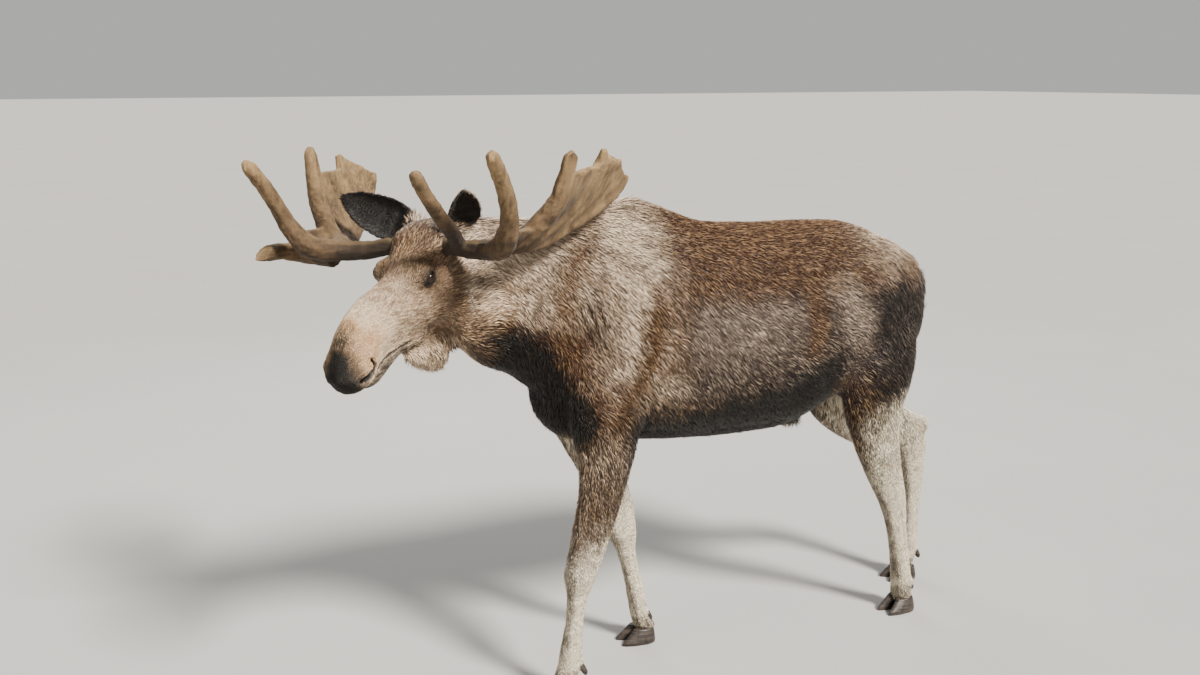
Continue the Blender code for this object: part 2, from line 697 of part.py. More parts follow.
trunk = flesh_object()
fuse(trunk, FLESH_VOXEL, 6, FLESH_TRIANGLES)
flesh_grown = grown(trunk, GAP * 1.5)
pieces = {}
pieces["head"] = part_off(trunk, "head", head_block())
pieces["bell"] = part_off(pieces["head"], "bell", bell_block())
pieces["neck"] = part_off(trunk, "neck", neck_block())
pieces["tail"] = part_off(trunk, "tail", tail_block())
for foot in LEG_CUTS:
    name = "leg_" + foot
    pieces[name] = part_off(trunk, name, leg_block(foot))
pieces["trunk"] = trunk

# ---- Eyes, in sockets that fit them ----

for side, sign in (("left", 1), ("right", -1)):
    bm = bmesh.new()
    forward, out, up = EYE_PLACE
    add_ball(bm, head_point(forward, sign * out, up), EYE_RADIUS, 2)
    eye = mesh_object("eye_" + side, bm)
    socket = grown(eye, GAP)
    combined(pieces["head"], socket, "DIFFERENCE")
    bpy.data.objects.remove(socket, do_unlink=True)
    finish(eye, "eye")

# ---- Ears and antlers, seated on the flesh ----

for side in ("left", "right"):
    ear = ear_object("ear_" + side, side)
    combined(ear, flesh_grown, "DIFFERENCE")
    keep_largest(ear)
    finish(ear, "coat_brown")

for side, sign in (("left", 1), ("right", -1)):
    antler = antler_object(side)
    fuse(antler, ANTLER_VOXEL, 4, ANTLER_TRIANGLES)
    combined(antler, flesh_grown, "DIFFERENCE")
    keep_largest(antler)
    # The upright tine, above and ahead of the main fork.
    near = [(0.25, 0.13, 0.075), (-0.03, 0.24, 0.110), (-0.03, 0.60, 0.110), (0.25, 0.60, 0.075)]
    far = [(0.25, 0.13, 0.60), (0.02, 0.13, 0.60), (0.02, 0.60, 0.60), (0.25, 0.60, 0.60)]
    upright = part_off(antler, "antler_upright_" + side,
                       antler_block("upright_cut", sign, near, far))
    finish(upright, "velvet")
    # The brow tine.
    if side == "left":
        near = [(0.30, -0.10, 0.030), (-0.06, -0.10, 0.045), (-0.06, 0.145, 0.045),
                (0.30, 0.145, 0.030)]
        far = [(0.30, -0.10, 0.60), (-0.06, -0.10, 0.60), (-0.06, 0.145, 0.60),
               (0.30, 0.145, 0.60)]
    else:
        near = [(0.30, 0.335, -0.10), (-0.02, 0.310, -0.10), (-0.02, 0.310, 0.065),
                (0.30, 0.335, 0.150)]
        far = [(0.30, 0.60, -0.10), (-0.02, 0.60, -0.10), (-0.02, 0.60, 0.065),
               (0.30, 0.60, 0.150)]
    brow = part_off(antler, "antler_brow_" + side, antler_block("brow_cut", sign, near, far))
    finish(brow, "velvet")
    # The beam, from the skull to the fork.
    near = [(0.30, 0.215, -0.30), (-0.30, 0.180, -0.30), (-0.30, 0.180, 0.30),
            (0.30, 0.215, 0.30)]
    far = [(0.30, -0.20, -0.30), (-0.30, -0.20, -0.30), (-0.30, -0.20, 0.30),
           (0.30, -0.20, 0.30)]
    beam = part_off(antler, "antler_beam_" + side, antler_block("beam_cut", sign, near, far))
    finish(beam, "velvet")
    finish(antler, "velvet")

bpy.data.objects.remove(flesh_grown, do_unlink=True)

# ---- Claws and dewclaws ----

for foot, (spot, turn) in FEET.items():
    leg = pieces["leg_" + foot]
    leg_grown = grown(leg, GAP * 1.5)
    pair, hand = foot.split("_")
    lines = FORE_LINES if pair == "front" else HIND_LINES
    fetlock = lines[hand][-2]
    for number, side in (("inner", 1 if hand == "left" else -1),
                         ("outer", -1 if hand == "left" else 1)):
        claw = claw_object(f"hoof_{foot}_{number}", spot, turn, side)
        finish(claw, "hoof_horn")
        dewclaw = dewclaw_object(f"dewclaw_{foot}_{number}", fetlock, turn, side)
        combined(dewclaw, leg_grown, "DIFFERENCE")
        keep_largest(dewclaw)
        finish(dewclaw, "hoof_horn")
    bpy.data.objects.remove(leg_grown, do_unlink=True)

for name, piece in pieces.items():
    tone = "coat_brown"
    if name in ("head", "neck", "bell"):
        tone = "coat_pale"
    if name.startswith("leg"):
        tone = "stocking"
    finish(piece, tone)

# ---- Every solid moves so that the origin lies on the ground, under the middle of the box ----

for item in bpy.data.objects:
    item.data.transform(Matrix.Translation(-ORIGIN))
    item.data.shade_smooth()
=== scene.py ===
"""A bull moose in mid-stride: its hide, coat, eyes, velvet antlers and hooves, made from its solids."""

import math

import bmesh
import bpy
import numpy as np
from mathutils import Matrix, Vector


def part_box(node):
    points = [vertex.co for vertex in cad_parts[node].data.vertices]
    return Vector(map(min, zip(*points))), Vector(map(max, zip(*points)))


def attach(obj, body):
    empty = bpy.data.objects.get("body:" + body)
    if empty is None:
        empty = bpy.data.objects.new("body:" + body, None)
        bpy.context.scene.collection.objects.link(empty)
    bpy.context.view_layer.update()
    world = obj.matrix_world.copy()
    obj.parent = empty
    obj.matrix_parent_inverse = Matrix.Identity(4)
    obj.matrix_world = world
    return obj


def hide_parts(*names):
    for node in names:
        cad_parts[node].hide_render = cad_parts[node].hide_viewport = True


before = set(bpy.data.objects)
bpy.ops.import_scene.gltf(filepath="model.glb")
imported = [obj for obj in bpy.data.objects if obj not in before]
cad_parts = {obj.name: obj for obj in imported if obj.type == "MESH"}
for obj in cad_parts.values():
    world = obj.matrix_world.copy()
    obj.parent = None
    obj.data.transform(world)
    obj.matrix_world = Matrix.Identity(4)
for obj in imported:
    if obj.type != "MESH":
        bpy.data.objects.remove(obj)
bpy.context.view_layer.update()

# The hide. One skin over all the flesh and both ears, with no seam in it. It is fused from the
# solids, evened out, sunk by the depth of the coat, and then modelled by moving its points.

FLESH = ["trunk", "neck", "head", "bell", "tail", "leg_front_left", "leg_front_right",
         "leg_hind_left", "leg_hind_right", "eye_left", "eye_right"]
EARS = ["ear_left", "ear_right"]


def joined_copy(name, nodes):
    """One object from copies of CAD nodes, with their loose triangles merged."""
    bm = bmesh.new()
    for node in nodes:
        bm.from_mesh(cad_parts[node].data)
    bmesh.ops.remove_doubles(bm, verts=bm.verts, dist=0.00002)
    return object_from(name, bm)


def object_from(name, bm):
    """An object in the scene that takes the bmesh's faces, and frees the bmesh."""
    mesh = bpy.data.meshes.new(name)
    bm.to_mesh(mesh)
    bm.free()
    made = bpy.data.objects.new(name, mesh)
    bpy.context.scene.collection.objects.link(made)
    return made


def apply_modifiers(item):
    """Makes what the modifiers give the object's own mesh."""
    graph = bpy.context.evaluated_depsgraph_get()
    mesh = bpy.data.meshes.new_from_object(item.evaluated_get(graph))
    item.modifiers.clear()
    old = item.data
    item.data = mesh
    bpy.data.meshes.remove(old)


def fuse(item, voxel):
    """One even skin of quads over all the overlapping bodies of an object."""
    remesh = item.modifiers.new("fuse", "REMESH")
    remesh.mode = "VOXEL"
    remesh.voxel_size = voxel
    apply_modifiers(item)


def points_of(mesh):
    spots = np.empty(len(mesh.vertices) * 3)
    mesh.vertices.foreach_get("co", spots)
    return spots.reshape(-1, 3)


def normals_of(mesh):
    found = np.empty(len(mesh.vertices) * 3, np.float32)
    mesh.vertex_normals.foreach_get("vector", found)
    return found.reshape(-1, 3).astype(float)


def place_points(mesh, spots):
    mesh.vertices.foreach_set("co", spots.ravel())
    mesh.update()


def edges_of(mesh):
    ends = np.empty(len(mesh.edges) * 2, np.int32)
    mesh.edges.foreach_get("vertices", ends)
    return ends.reshape(-1, 2)


def averaged(values, ends):
    """For each point, the mean of one or more values over the points that share an edge with it."""
    count = len(values)
    columns = values.reshape(count, -1)
    valence = np.maximum(np.bincount(ends.ravel(), minlength=count), 1)
    found = np.empty_like(columns)
    for column in range(columns.shape[1]):
        one = columns[:, column]
        found[:, column] = (np.bincount(ends[:, 0], one[ends[:, 1]], count)
                            + np.bincount(ends[:, 1], one[ends[:, 0]], count)) / valence
    return found.reshape(values.shape)


def even_out(item, rounds):
    """Smooths a mesh without shrinking it, by Taubin's pairs of passes."""
    ends = edges_of(item.data)
    spots = points_of(item.data)
    for turn in range(rounds * 2):
        share = 0.6 if turn % 2 == 0 else -0.62
        spots = spots + share * (averaged(spots, ends) - spots)
    place_points(item.data, spots)


def append_mesh(item, other):
    """Joins the other object's mesh to the item's, and removes the other object."""
    bm = bmesh.new()
    bm.from_mesh(item.data)
    bm.from_mesh(other.data)
    bm.to_mesh(item.data)
    bm.free()
    bpy.data.objects.remove(other, do_unlink=True)


hide = joined_copy("hide", FLESH)
fuse(hide, voxel=0.011)
even_out(hide, rounds=40)

# The head has a frame of its own: forward from the poll, out to the left, and up. The eyes give it.
HEAD_FORWARD = Vector((-0.692, -0.472, -0.546))
EYE_PLACE = Vector((0.228, 0.101, -0.054))  # forward, outward and up from the poll
EYE_RADIUS = 0.0225


def middle_of(node):
    low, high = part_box(node)
    return (low + high) / 2


eye_middles = {"left": middle_of("eye_left"), "right": middle_of("eye_right")}
head_left = (eye_middles["left"] - eye_middles["right"]).normalized()
EYE_INSET = 0.004  # how much deeper the eyes sit than their solids
eye_middles["left"] -= head_left * EYE_INSET
eye_middles["right"] += head_left * EYE_INSET
head_forward = (HEAD_FORWARD - head_left * HEAD_FORWARD.dot(head_left)).normalized()
head_up = head_forward.cross(head_left)
poll = ((eye_middles["left"] + eye_middles["right"]) / 2
        - head_forward * EYE_PLACE.x - head_up * EYE_PLACE.z)
HEAD_AXES = np.array([head_forward, head_left, head_up])
midline = middle_of("trunk").y

# Each ear grows from a short root of gristle, which widens as it runs into the skull.
ROOT_STEPS = 7
ROOT_START = -0.010  # in the ear's base
ROOT_STEP = 0.008
ROOT_RADIUS = 0.017
ROOT_WIDENING = 0.0018  # over one step
skull_middle = poll - head_up * 0.09
ear_roots = {}
ears = joined_copy("ears", EARS)
bm = bmesh.new()
bm.from_mesh(ears.data)
for node in EARS:
    ear_points = points_of(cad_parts[node].data)
    reach = np.linalg.norm(ear_points - np.array(poll), axis=1)
    ear_roots[node] = Vector(ear_points[reach < reach.min() + 0.02].mean(axis=0))
    inward = (skull_middle - ear_roots[node]).normalized()
    for step in range(ROOT_STEPS):
        place = Matrix.Translation(ear_roots[node] + inward * (ROOT_START + ROOT_STEP * step))
        radius = ROOT_RADIUS + ROOT_WIDENING * step
        bmesh.ops.create_icosphere(bm, subdivisions=3, radius=radius, matrix=place)
bm.to_mesh(ears.data)
bm.free()
fuse(ears, voxel=0.0035)
even_out(ears, rounds=14)
append_mesh(hide, ears)
fuse(hide, voxel=0.0048)
even_out(hide, rounds=5)


def head_places(spots):
    """Forward, outward to either side, and up from the poll."""
    found = (spots - np.array(poll)) @ HEAD_AXES.T
    found[:, 1] = np.abs(found[:, 1])
    return found


def flank_places(spots):
    """Along X, outward to either side of the trunk's middle plane, and up."""
    found = spots.copy()
    found[:, 1] = np.abs(found[:, 1] - midline)
    return found


def swell(places, centre, reach):
    """One at the centre, falling smoothly to nothing past the reach along each axis."""
    gaps = (places - np.array(centre)) / np.array(reach)
    return np.exp(-(gaps ** 2).sum(axis=1))


def line_gap(places, line):
    """How far each point is from a bent line, and its share of the way along the line's points."""
    best = np.full(len(places), 1e9)
    share = np.zeros(len(places))
    for index, (first, second) in enumerate(zip(line, line[1:])):
        start = np.array(first, float)
        along = np.array(second, float) - start
        part = np.clip((places - start) @ along / (along @ along), 0, 1)
        gap = np.linalg.norm(places - start - part[:, None] * along, axis=1)
        share = np.where(gap < best, (index + part) / (len(line) - 1), share)
        best = np.minimum(best, gap)
    return best, share


def ridge(places, line, width):
    """One along a bent line, falling smoothly to nothing past its width and at both its ends."""
    gap, share = line_gap(places, line)
    return np.exp(-(gap / width) ** 2) * ramp(share, 0, 0.22) * ramp(1 - share, 0, 0.22)


def ramp(values, start, end):
    """A smooth step from 0 at the start to 1 at the end."""
    share = np.clip((values - start) / (end - start), 0, 1)
    return share * share * (3 - 2 * share)


def head_share(spots):
    """One on the head and ears, nothing on the neck."""
    places = head_places(spots)
    reach = places[:, 0] + 0.45 * (places[:, 2] + 0.05)
    return ramp(reach, -0.10, 0.02) * ramp(places[:, 2], -0.56, -0.50)


# Each form is a place on the flank, its reach along each axis, and how far it stands out.
FLANK_SWELLS = [
    ((-0.265, 0.26, 1.100), (0.045, 0.10, 0.050), 0.011),    # elbow
    ((-0.430, 0.22, 1.200), (0.060, 0.10, 0.060), 0.006),    # point of the shoulder
    ((-0.200, 0.26, 1.330), (0.070, 0.12, 0.120), 0.009),    # triceps
    ((0.500, 0.30, 1.430), (0.060, 0.12, 0.110), -0.015),    # hollow of the flank
    ((0.500, 0.30, 1.080), (0.080, 0.12, 0.050), -0.016),    # under the flank's fold
    ((0.620, 0.20, 1.600), (0.050, 0.10, 0.040), 0.010),     # hip bone
    ((0.780, 0.28, 1.400), (0.100, 0.12, 0.140), 0.009),     # thigh
    ((0.730, 0.28, 1.060), (0.050, 0.10, 0.060), 0.008),     # stifle
    ((1.190, 0.10, 1.520), (0.040, 0.06, 0.050), 0.006),     # pin bone
    ((1.225, 0.00, 1.530), (0.045, 0.06, 0.045), 0.018),     # root of the tail
    ((1.315, 0.00, 1.285), (0.035, 0.06, 0.035), -0.016),    # tip of the tail
    ((1.275, 0.00, 1.135), (0.065, 0.12, 0.070), -0.042),    # below the tail
]
# Each of these follows a line along X and up, with a width and how far it stands out.
FLANK_RIDGES = [
    ([(-0.17, 1.72), (-0.28, 1.52), (-0.41, 1.24)], 0.046, 0.010),       # spine of the shoulder blade
    ([(-0.10, 1.50), (-0.15, 1.34), (-0.21, 1.20), (-0.26, 1.05)],       # behind the triceps
     0.042, -0.012),
    ([(-0.35, 1.73), (-0.44, 1.64), (-0.49, 1.52), (-0.48, 1.40)],       # before the shoulder
     0.050, -0.010),
    ([(-0.745, 1.475), (-0.705, 1.430), (-0.665, 1.405)], 0.024, -0.018),  # hollow behind the jaw
    ([(-0.400, 1.21), (-0.396, 1.15)], 0.007, -0.012),                   # crease over the forearm
    ([(0.42, 1.228), (0.48, 1.214), (0.53, 1.188), (0.575, 1.14), (0.62, 1.09)],
     0.036, 0.009),                                                      # fold before the stifle
    ([(1.08, 1.42), (1.00, 1.22), (0.93, 1.05)], 0.036, -0.010),         # between the thigh's muscles
    ([(0.66, 1.45), (0.69, 1.28), (0.66, 1.12)], 0.042, -0.008),         # before the thigh
]


FOLD_SLANT = 0.30
FOLD_SPACING = 0.034


def shoulder_folds(x, z, half_width, half_height):
    """One where loose skin hangs in folds before the shoulder, falling to nothing round it."""
    aslant = x + 0.385 + FOLD_SLANT * (z - 1.45)
    return np.exp(-(aslant / half_width) ** 2 - ((z - 1.44) / half_height) ** 2)


def fold_wave(x, z):
    """From -1 between two folds to 1 on a fold."""
    return np.sin(2 * np.pi * (x + FOLD_SLANT * (z - 1.45)) / FOLD_SPACING)


def flank_rise(spots):
    """How far the trunk's and legs' forms stand out of the even skin."""
    places = flank_places(spots)
    rise = np.zeros(len(spots))
    for centre, reach, height in FLANK_SWELLS:
        rise += height * swell(places, centre, reach)
    outer = ramp(places[:, 1], 0.08, 0.15)
    side_view = places[:, [0, 2]]
    for line, width, height in FLANK_RIDGES:
        rise += height * outer * ridge(side_view, line, width)
    x, z = side_view.T
    rise += 0.0125 * outer * shoulder_folds(x, z, 0.048, 0.095) * fold_wave(x, z)
    ribs = ramp(x, -0.10, 0.02) * ramp(-x, -0.52, -0.40)
    ribs = ribs * ramp(z, 0.98, 1.10) * ramp(-z, -1.56, -1.44)
    rise += 0.0007 * outer * ribs * np.sin(2 * np.pi * (x - 0.22 * (z - 1.3)) / 0.088)
    return rise


# Each leg's line below the elbow or stifle, along X and up: the joint's bend, then down the cannon.
CANNONS = {
    "front_left": [(-0.424, 0.490), (-0.436, 0.400), (-0.446, 0.300), (-0.459, 0.190)],
    "front_right": [(-0.080, 0.490), (-0.062, 0.400), (-0.039, 0.300), (-0.009, 0.190)],
    "hind_left": [(1.079, 0.520), (1.118, 0.360), (1.151, 0.190)],
    "hind_right": [(1.435, 0.545), (1.435, 0.370), (1.423, 0.190)],
}


def leg_rise(spots, normals):
    """Tendons behind each cannon, the bony knees, and the hollows before the hocks' tendons."""
    rise = np.zeros(len(spots))
    x, z = spots[:, 0], spots[:, 2]
    sideways = np.abs(normals[:, 1])
    for foot, line in CANNONS.items():
        left = foot.endswith("left")
        own = (spots[:, 1] < midline) == left
        low = ramp(-z, -0.62, -0.50)
        behind = [(along + 0.011, up) for along, up in line]
        groove = ridge(spots[:, [0, 2]], behind, 0.0075)
        rise -= 0.0045 * own * low * groove * ramp(sideways, 0.35, 0.8)
        fetlock = np.array(line[-1])
        gap = np.hypot(x - fetlock[0] - 0.012, z - fetlock[1] + 0.012)
        rise += 0.004 * own * np.exp(-(gap / 0.030) ** 2)
        for half in ("inner", "outer"):
            low_corner, high_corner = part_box(f"dewclaw_{foot}_{half}")
            claw = np.array((low_corner + high_corner) / 2)
            claw[2] = high_corner.z - 0.010
            rise += 0.013 * np.exp(-(np.linalg.norm(spots - claw, axis=1) / 0.026) ** 2)
        if foot.startswith("front"):
            knee = np.array(line[0])
            gap = np.hypot(x - knee[0] + 0.03, z - knee[1] + 0.005)
            rise += 0.006 * own * np.exp(-(gap / 0.038) ** 2)
            gap = np.hypot(x - knee[0] + 0.01, (z - knee[1] + 0.075) * 1.3)
            rise -= 0.003 * own * np.exp(-(gap / 0.022) ** 2)
    for x_hollow, z_hollow, left in ((0.985, 0.800, True), (1.330, 0.800, False)):
        own = (spots[:, 1] < midline) == left
        gap = np.hypot(x - x_hollow, (z - z_hollow) * 0.8)
        rise -= 0.012 * own * np.exp(-(gap / 0.032) ** 2) * ramp(sideways, 0.3, 0.8)
    return rise


# The face, in the head's frame. Lines run forward and up.
NOSTRIL = [(0.584, -0.080), (0.586, -0.099), (0.601, -0.111), (0.628, -0.114), (0.646, -0.113)]
MOUTH = [(0.655, -0.172), (0.620, -0.171), (0.575, -0.167), (0.525, -0.165), (0.480, -0.170),
         (0.440, -0.184), (0.400, -0.200), (0.370, -0.213)]
FACE_SWELLS = [
    ((0.226, 0.112, -0.052), (0.045, 0.05, 0.040), 0.001),    # rim of the eye's socket
    ((0.616, 0.074, -0.086), (0.024, 0.05, 0.020), 0.009),    # wing of the nostril
    ((0.560, 0.080, -0.110), (0.016, 0.05, 0.030), 0.004),    # behind the nostril
    ((0.600, 0.070, -0.148), (0.045, 0.05, 0.012), 0.004),    # edge of the upper lip
    ((0.140, 0.106, -0.190), (0.090, 0.06, 0.080), 0.006),    # cheek muscle
    ((0.130, 0.098, -0.050), (0.035, 0.05, 0.030), -0.007),   # temple
    ((0.310, 0.080, -0.045), (0.050, 0.05, 0.035), 0.007),    # before the eye
    ((0.270, 0.000, 0.004), (0.050, 0.03, 0.030), -0.004),    # dip of the brow
    ((0.520, 0.070, -0.190), (0.050, 0.05, 0.012), 0.003),    # lower lip
]
FACE_RIDGES = [
    ([(0.27, -0.115), (0.34, -0.105), (0.43, -0.095)], 0.013, 0.004),    # crest of the cheek bone
    ([(0.185, -0.018), (0.225, -0.012), (0.262, -0.026)], 0.014, 0.002),  # brow
    ([(0.262, -0.072), (0.300, -0.088)], 0.0045, -0.004),                # gland before the eye
    ([(0.34, -0.262), (0.26, -0.312), (0.20, -0.320), (0.17, -0.24), (0.12, -0.14)],
     0.020, -0.008),                                                     # round the jaw's rear edge
]


def nostril_width(share):
    """Half the nostril's width along it: a slit at the top that opens out below and closes in front."""
    return 0.0050 + 0.0065 * ramp(share, 0.1, 0.65) * (1 - 0.6 * ramp(share, 0.85, 1.0))


def face_rise(spots):
    """How far the face's forms stand out of the even skin."""
    places = head_places(spots)
    rise = np.zeros(len(spots))
    for centre, reach, height in FACE_SWELLS:
        rise += height * swell(places, centre, reach)
    outer = ramp(places[:, 1], 0.020, 0.045)
    side_view = places[:, [0, 2]]
    for line, width, height in FACE_RIDGES:
        rise += height * outer * ridge(side_view, line, width)
    nostril_gap, share = line_gap(side_view, NOSTRIL)
    opening = nostril_width(share)
    rise -= 0.026 * outer * np.exp(-(nostril_gap / opening) ** 4)
    rise += 0.0045 * outer * np.exp(-((nostril_gap - opening - 0.008) / 0.006) ** 2)
    rise -= 0.0075 * outer * ridge(side_view, MOUTH, 0.0042)
    # Creases over the nostril.
    gap = np.hypot(places[:, 0] - 0.610, places[:, 2] + 0.105)
    crease = np.exp(-((gap - 0.052) / 0.018) ** 2) * outer * ramp(places[:, 2], -0.12, -0.06)
    rise += 0.0013 * crease * np.sin(2 * np.pi * gap / 0.011)
    # The skull rises round the root of each antler.
    root_gap = np.linalg.norm((places - (0.102, 0.072, -0.028)) * (0.85, 1, 1), axis=1)
    rise += 0.026 * np.exp(-(root_gap / 0.046) ** 2)
    return rise * head_share(spots)


# The eye's opening: its half length and how far each lid stands off the line of the corners.
LID_HALF = 0.0205
LID_UPPER = 0.0150
LID_LOWER = 0.0112
LID_THICKNESS = 0.0024
EYE_OUT = Vector((0.20, 0.96, 0.12)).normalized()  # where it looks, in the head's frame
EYE_LONG = Vector((0.93, -0.16, -0.32))


def eye_places(spots, side):
    """Each point's place over one eye: how far out, how far off its axis, squared, its share of the
    way to the lids' edge, and whether it is over the upper lid."""
    sign = 1 if side == "left" else -1
    places = (spots - np.array(eye_middles[side])) @ HEAD_AXES.T * (1, sign, 1)
    long_axis = np.array((EYE_LONG - EYE_OUT * EYE_LONG.dot(EYE_OUT)).normalized())
    high_axis = np.cross(long_axis, np.array(EYE_OUT))
    high_axis *= np.sign(high_axis[2])
    depth, a, b = places @ np.array(EYE_OUT), places @ long_axis, places @ high_axis
    opening = np.hypot(a / LID_HALF, b / np.where(b > 0, LID_UPPER, LID_LOWER))
    return depth, a ** 2 + b ** 2, opening, b > 0


def shape_lids(spots, side):
    """Opens the skin over one eye, and wraps its two lids closely round the ball."""
    sign = 1 if side == "left" else -1
    depth, across, opening, upper = eye_places(spots, side)
    ball = np.sqrt(np.maximum(EYE_RADIUS ** 2 - across, 0))
    round_lid = EYE_RADIUS + LID_THICKNESS
    cover = np.sqrt(np.maximum(round_lid ** 2 - across, 0))
    cover -= 8 * np.maximum(np.sqrt(across) - round_lid, 0)
    crease = 0.0018 * np.exp(-((opening - 1.55) / 0.18) ** 2) * upper
    wrapped = (cover + depth + np.sqrt((cover - depth) ** 2 + 0.005 ** 2)) / 2 - crease
    near = (depth > 0) & (across < 0.040 ** 2)
    target = np.where(opening < 1, ball - 0.0045, wrapped)
    fade = 1 - ramp(np.sqrt(across), 0.028, 0.040)
    shift = np.where(near, (target - depth) * fade, 0)
    return spots + (shift[:, None] * (np.array(EYE_OUT) * (1, sign, 1))) @ HEAD_AXES


def refine(item, near, cuts):
    """Cuts finer every face whose points are all marked."""
    bm = bmesh.new()
    bm.from_mesh(item.data)
    bm.verts.ensure_lookup_table()
    faces = [face for face in bm.faces if all(near[vert.index] for vert in face.verts)]
    edges = list({edge for face in faces for edge in face.edges})
    bmesh.ops.subdivide_edges(bm, edges=edges, cuts=cuts, use_grid_fill=True, smooth=0)
    bm.to_mesh(item.data)
    bm.free()


# Where the jaw ends: up, and how far forward.
JAW_REAR = ([-0.38, -0.19, -0.08, 0.05], [0.205, 0.175, 0.10, 0.00])


def one_ear(spots, node):
    """One on this ear, nothing on the skull."""
    low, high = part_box(node)
    inside = ((spots > np.array(low) - 0.004) & (spots < np.array(high) + 0.004)).all(axis=1)
    places = head_places(spots)
    return inside * ramp(places[:, 1] + 0.5 * places[:, 2], 0.075, 0.115)


def ear_share(spots):
    """One on both ears, nothing on the skull."""
    return np.maximum(one_ear(spots, "ear_left"), one_ear(spots, "ear_right"))


def face_share(spots):
    """One on the face and ears, before the line where the jaw ends and the neck's hair starts."""
    forward, _, above = head_places(spots).T
    share = ramp(forward - np.interp(above, *JAW_REAR), -0.05, 0.02) * ramp(above, -0.56, -0.50)
    return np.maximum(share, ear_share(spots))


# The coat's depth, from the tips to the skin.
BODY_DEPTH = 0.010
FACE_DEPTH = 0.0035
SHIN_DEPTH = 0.0040
MANE_DEPTH = 0.022
BELL_DEPTH = 0.010
ROOT_DEPTH = 0.0030
EAR_DEPTH = 0.0008


def mane_share(spots):
    """One on the crest from the poll to behind the withers."""
    places = flank_places(spots)
    crest = ramp(-places[:, 1], -0.075, -0.015) * ramp(places[:, 2], 1.70, 1.76)
    return crest * ramp(places[:, 0], -0.92, -0.80) * ramp(-places[:, 0], 0.10, 0.22)


def bell_share(spots):
    """One on the flap of skin that hangs under the throat."""
    places = head_places(spots)
    hang = -0.232 - 0.44 * (0.40 - places[:, 0])
    low = ramp(hang - places[:, 2], 0.0, 0.03)
    return low * ramp(places[:, 0], 0.12, 0.17) * ramp(-places[:, 0], -0.45, -0.40) \
        * ramp(-places[:, 1], -0.10, -0.07)


def shin_share(spots):
    """One on the lower legs, falling to nothing below the elbows and stifles."""
    return ramp(-spots[:, 2], -0.95, -0.55)


def coat_depth(spots):
    """How deep the coat is at each point."""
    depth = BODY_DEPTH + (MANE_DEPTH - BODY_DEPTH) * mane_share(spots)
    depth += (SHIN_DEPTH - depth) * shin_share(spots)
    depth += (FACE_DEPTH - depth) * face_share(spots)
    depth += (BELL_DEPTH - depth) * bell_share(spots)
    return depth


# Which way each ear is turned open: forward, to the left and up.
EAR_OPENING = {"ear_left": (0.60, 0.80, -0.20), "ear_right": (0.72, 0.30, 0.62)}


def ear_hollow(spots, normals):
    """One inside the ears' hollows."""
    found = np.zeros(len(spots))
    for node, opening in EAR_OPENING.items():
        facing = normals @ (np.array(opening) @ HEAD_AXES)
        found = np.maximum(found, one_ear(spots, node) * ramp(facing, 0.10, 0.35))
    return found


# The skin is cut finer round the nostrils, the mouth and the eyes, twice.
for reach in (0.022, 0.012):
    spots = points_of(hide.data)
    places = head_places(spots)
    side_view = places[:, [0, 2]]
    near = line_gap(side_view, NOSTRIL)[0] < reach
    near |= line_gap(side_view, MOUTH)[0] < reach * 0.7
    near &= places[:, 1] > 0.010
    for eye in eye_middles.values():
        near |= np.linalg.norm(spots - np.array(eye), axis=1) < 0.028 + reach
    refine(hide, near, cuts=1)

# Then it sinks under the coat's tips, and its forms rise.
spots = points_of(hide.data)
normals = normals_of(hide.data)
ends = edges_of(hide.data)
for turn in range(3):
    normals = averaged(normals, ends)
normals /= np.linalg.norm(normals, axis=1)[:, None]
near_root = np.zeros(len(spots))
for node in EARS:
    gap = np.linalg.norm(spots - np.array(ear_roots[node]), axis=1)
    near_root = np.maximum(near_root, 1 - ramp(gap, 0.030, 0.055))
depth = coat_depth(spots)
depth += (ROOT_DEPTH - depth) * near_root
depth += (EAR_DEPTH - depth) * ear_share(spots)
for turn in range(6):
    depth = averaged(depth, ends)
rise = flank_rise(spots) * (1 - head_share(spots)) + leg_rise(spots, normals) + face_rise(spots)
skin = spots + normals * (rise - depth)[:, None]

# The legs' lower ends spread over the tops of the hooves, and run on down inside them.
for foot in CANNONS:
    own = ((spots[:, 1] < midline) == foot.endswith("left")) & (spots[:, 2] < 0.20)
    own &= (spots[:, 0] > 0.3) == foot.startswith("hind")
    low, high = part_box(f"hoof_{foot}_inner")
    other_low, other_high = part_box(f"hoof_{foot}_outer")
    top = np.array([(high.x + other_high.x) / 2 - 0.046,
                    (low.y + high.y + other_low.y + other_high.y) / 4])
    ring = own & (spots[:, 2] < 0.10) & (spots[:, 2] > 0.070)
    centre = (skin[ring, :2].min(axis=0) + skin[ring, :2].max(axis=0)) / 2
    half = (skin[ring, :2].max(axis=0) - skin[ring, :2].min(axis=0)) / 2
    spread = (ramp(-spots[:, 2], -0.155, -0.066) * own)[:, None]
    wider = (skin[:, :2] - centre) * (np.array([0.042, 0.044]) / half - 1) + top - centre
    skin[:, :2] += spread * wider
end_face = (normals[:, 2] < -0.5) & (spots[:, 2] < 0.16)
skin[end_face, 2] = spots[end_face, 2] - 0.010

# The ears' roots are smoothed into the skull, and the lids close round the eyes.
for turn in range(5):
    skin += (averaged(skin, ends) - skin) * near_root[:, None]
for side in ("left", "right"):
    skin = shape_lids(skin, side)
place_points(hide.data, skin)


def ripple(spots, wavelength, seed):
    """Smooth unevenness between about -1 and 1, made of a few crossing waves."""
    rng = np.random.default_rng(seed)
    total = np.zeros(len(spots))
    for turn in range(7):
        way = rng.normal(size=3)
        way *= 2 * np.pi / wavelength * rng.uniform(0.6, 1.5) / np.linalg.norm(way)
        total += np.sin(spots @ way + rng.uniform(0, 2 * np.pi))
    return total / 3.2


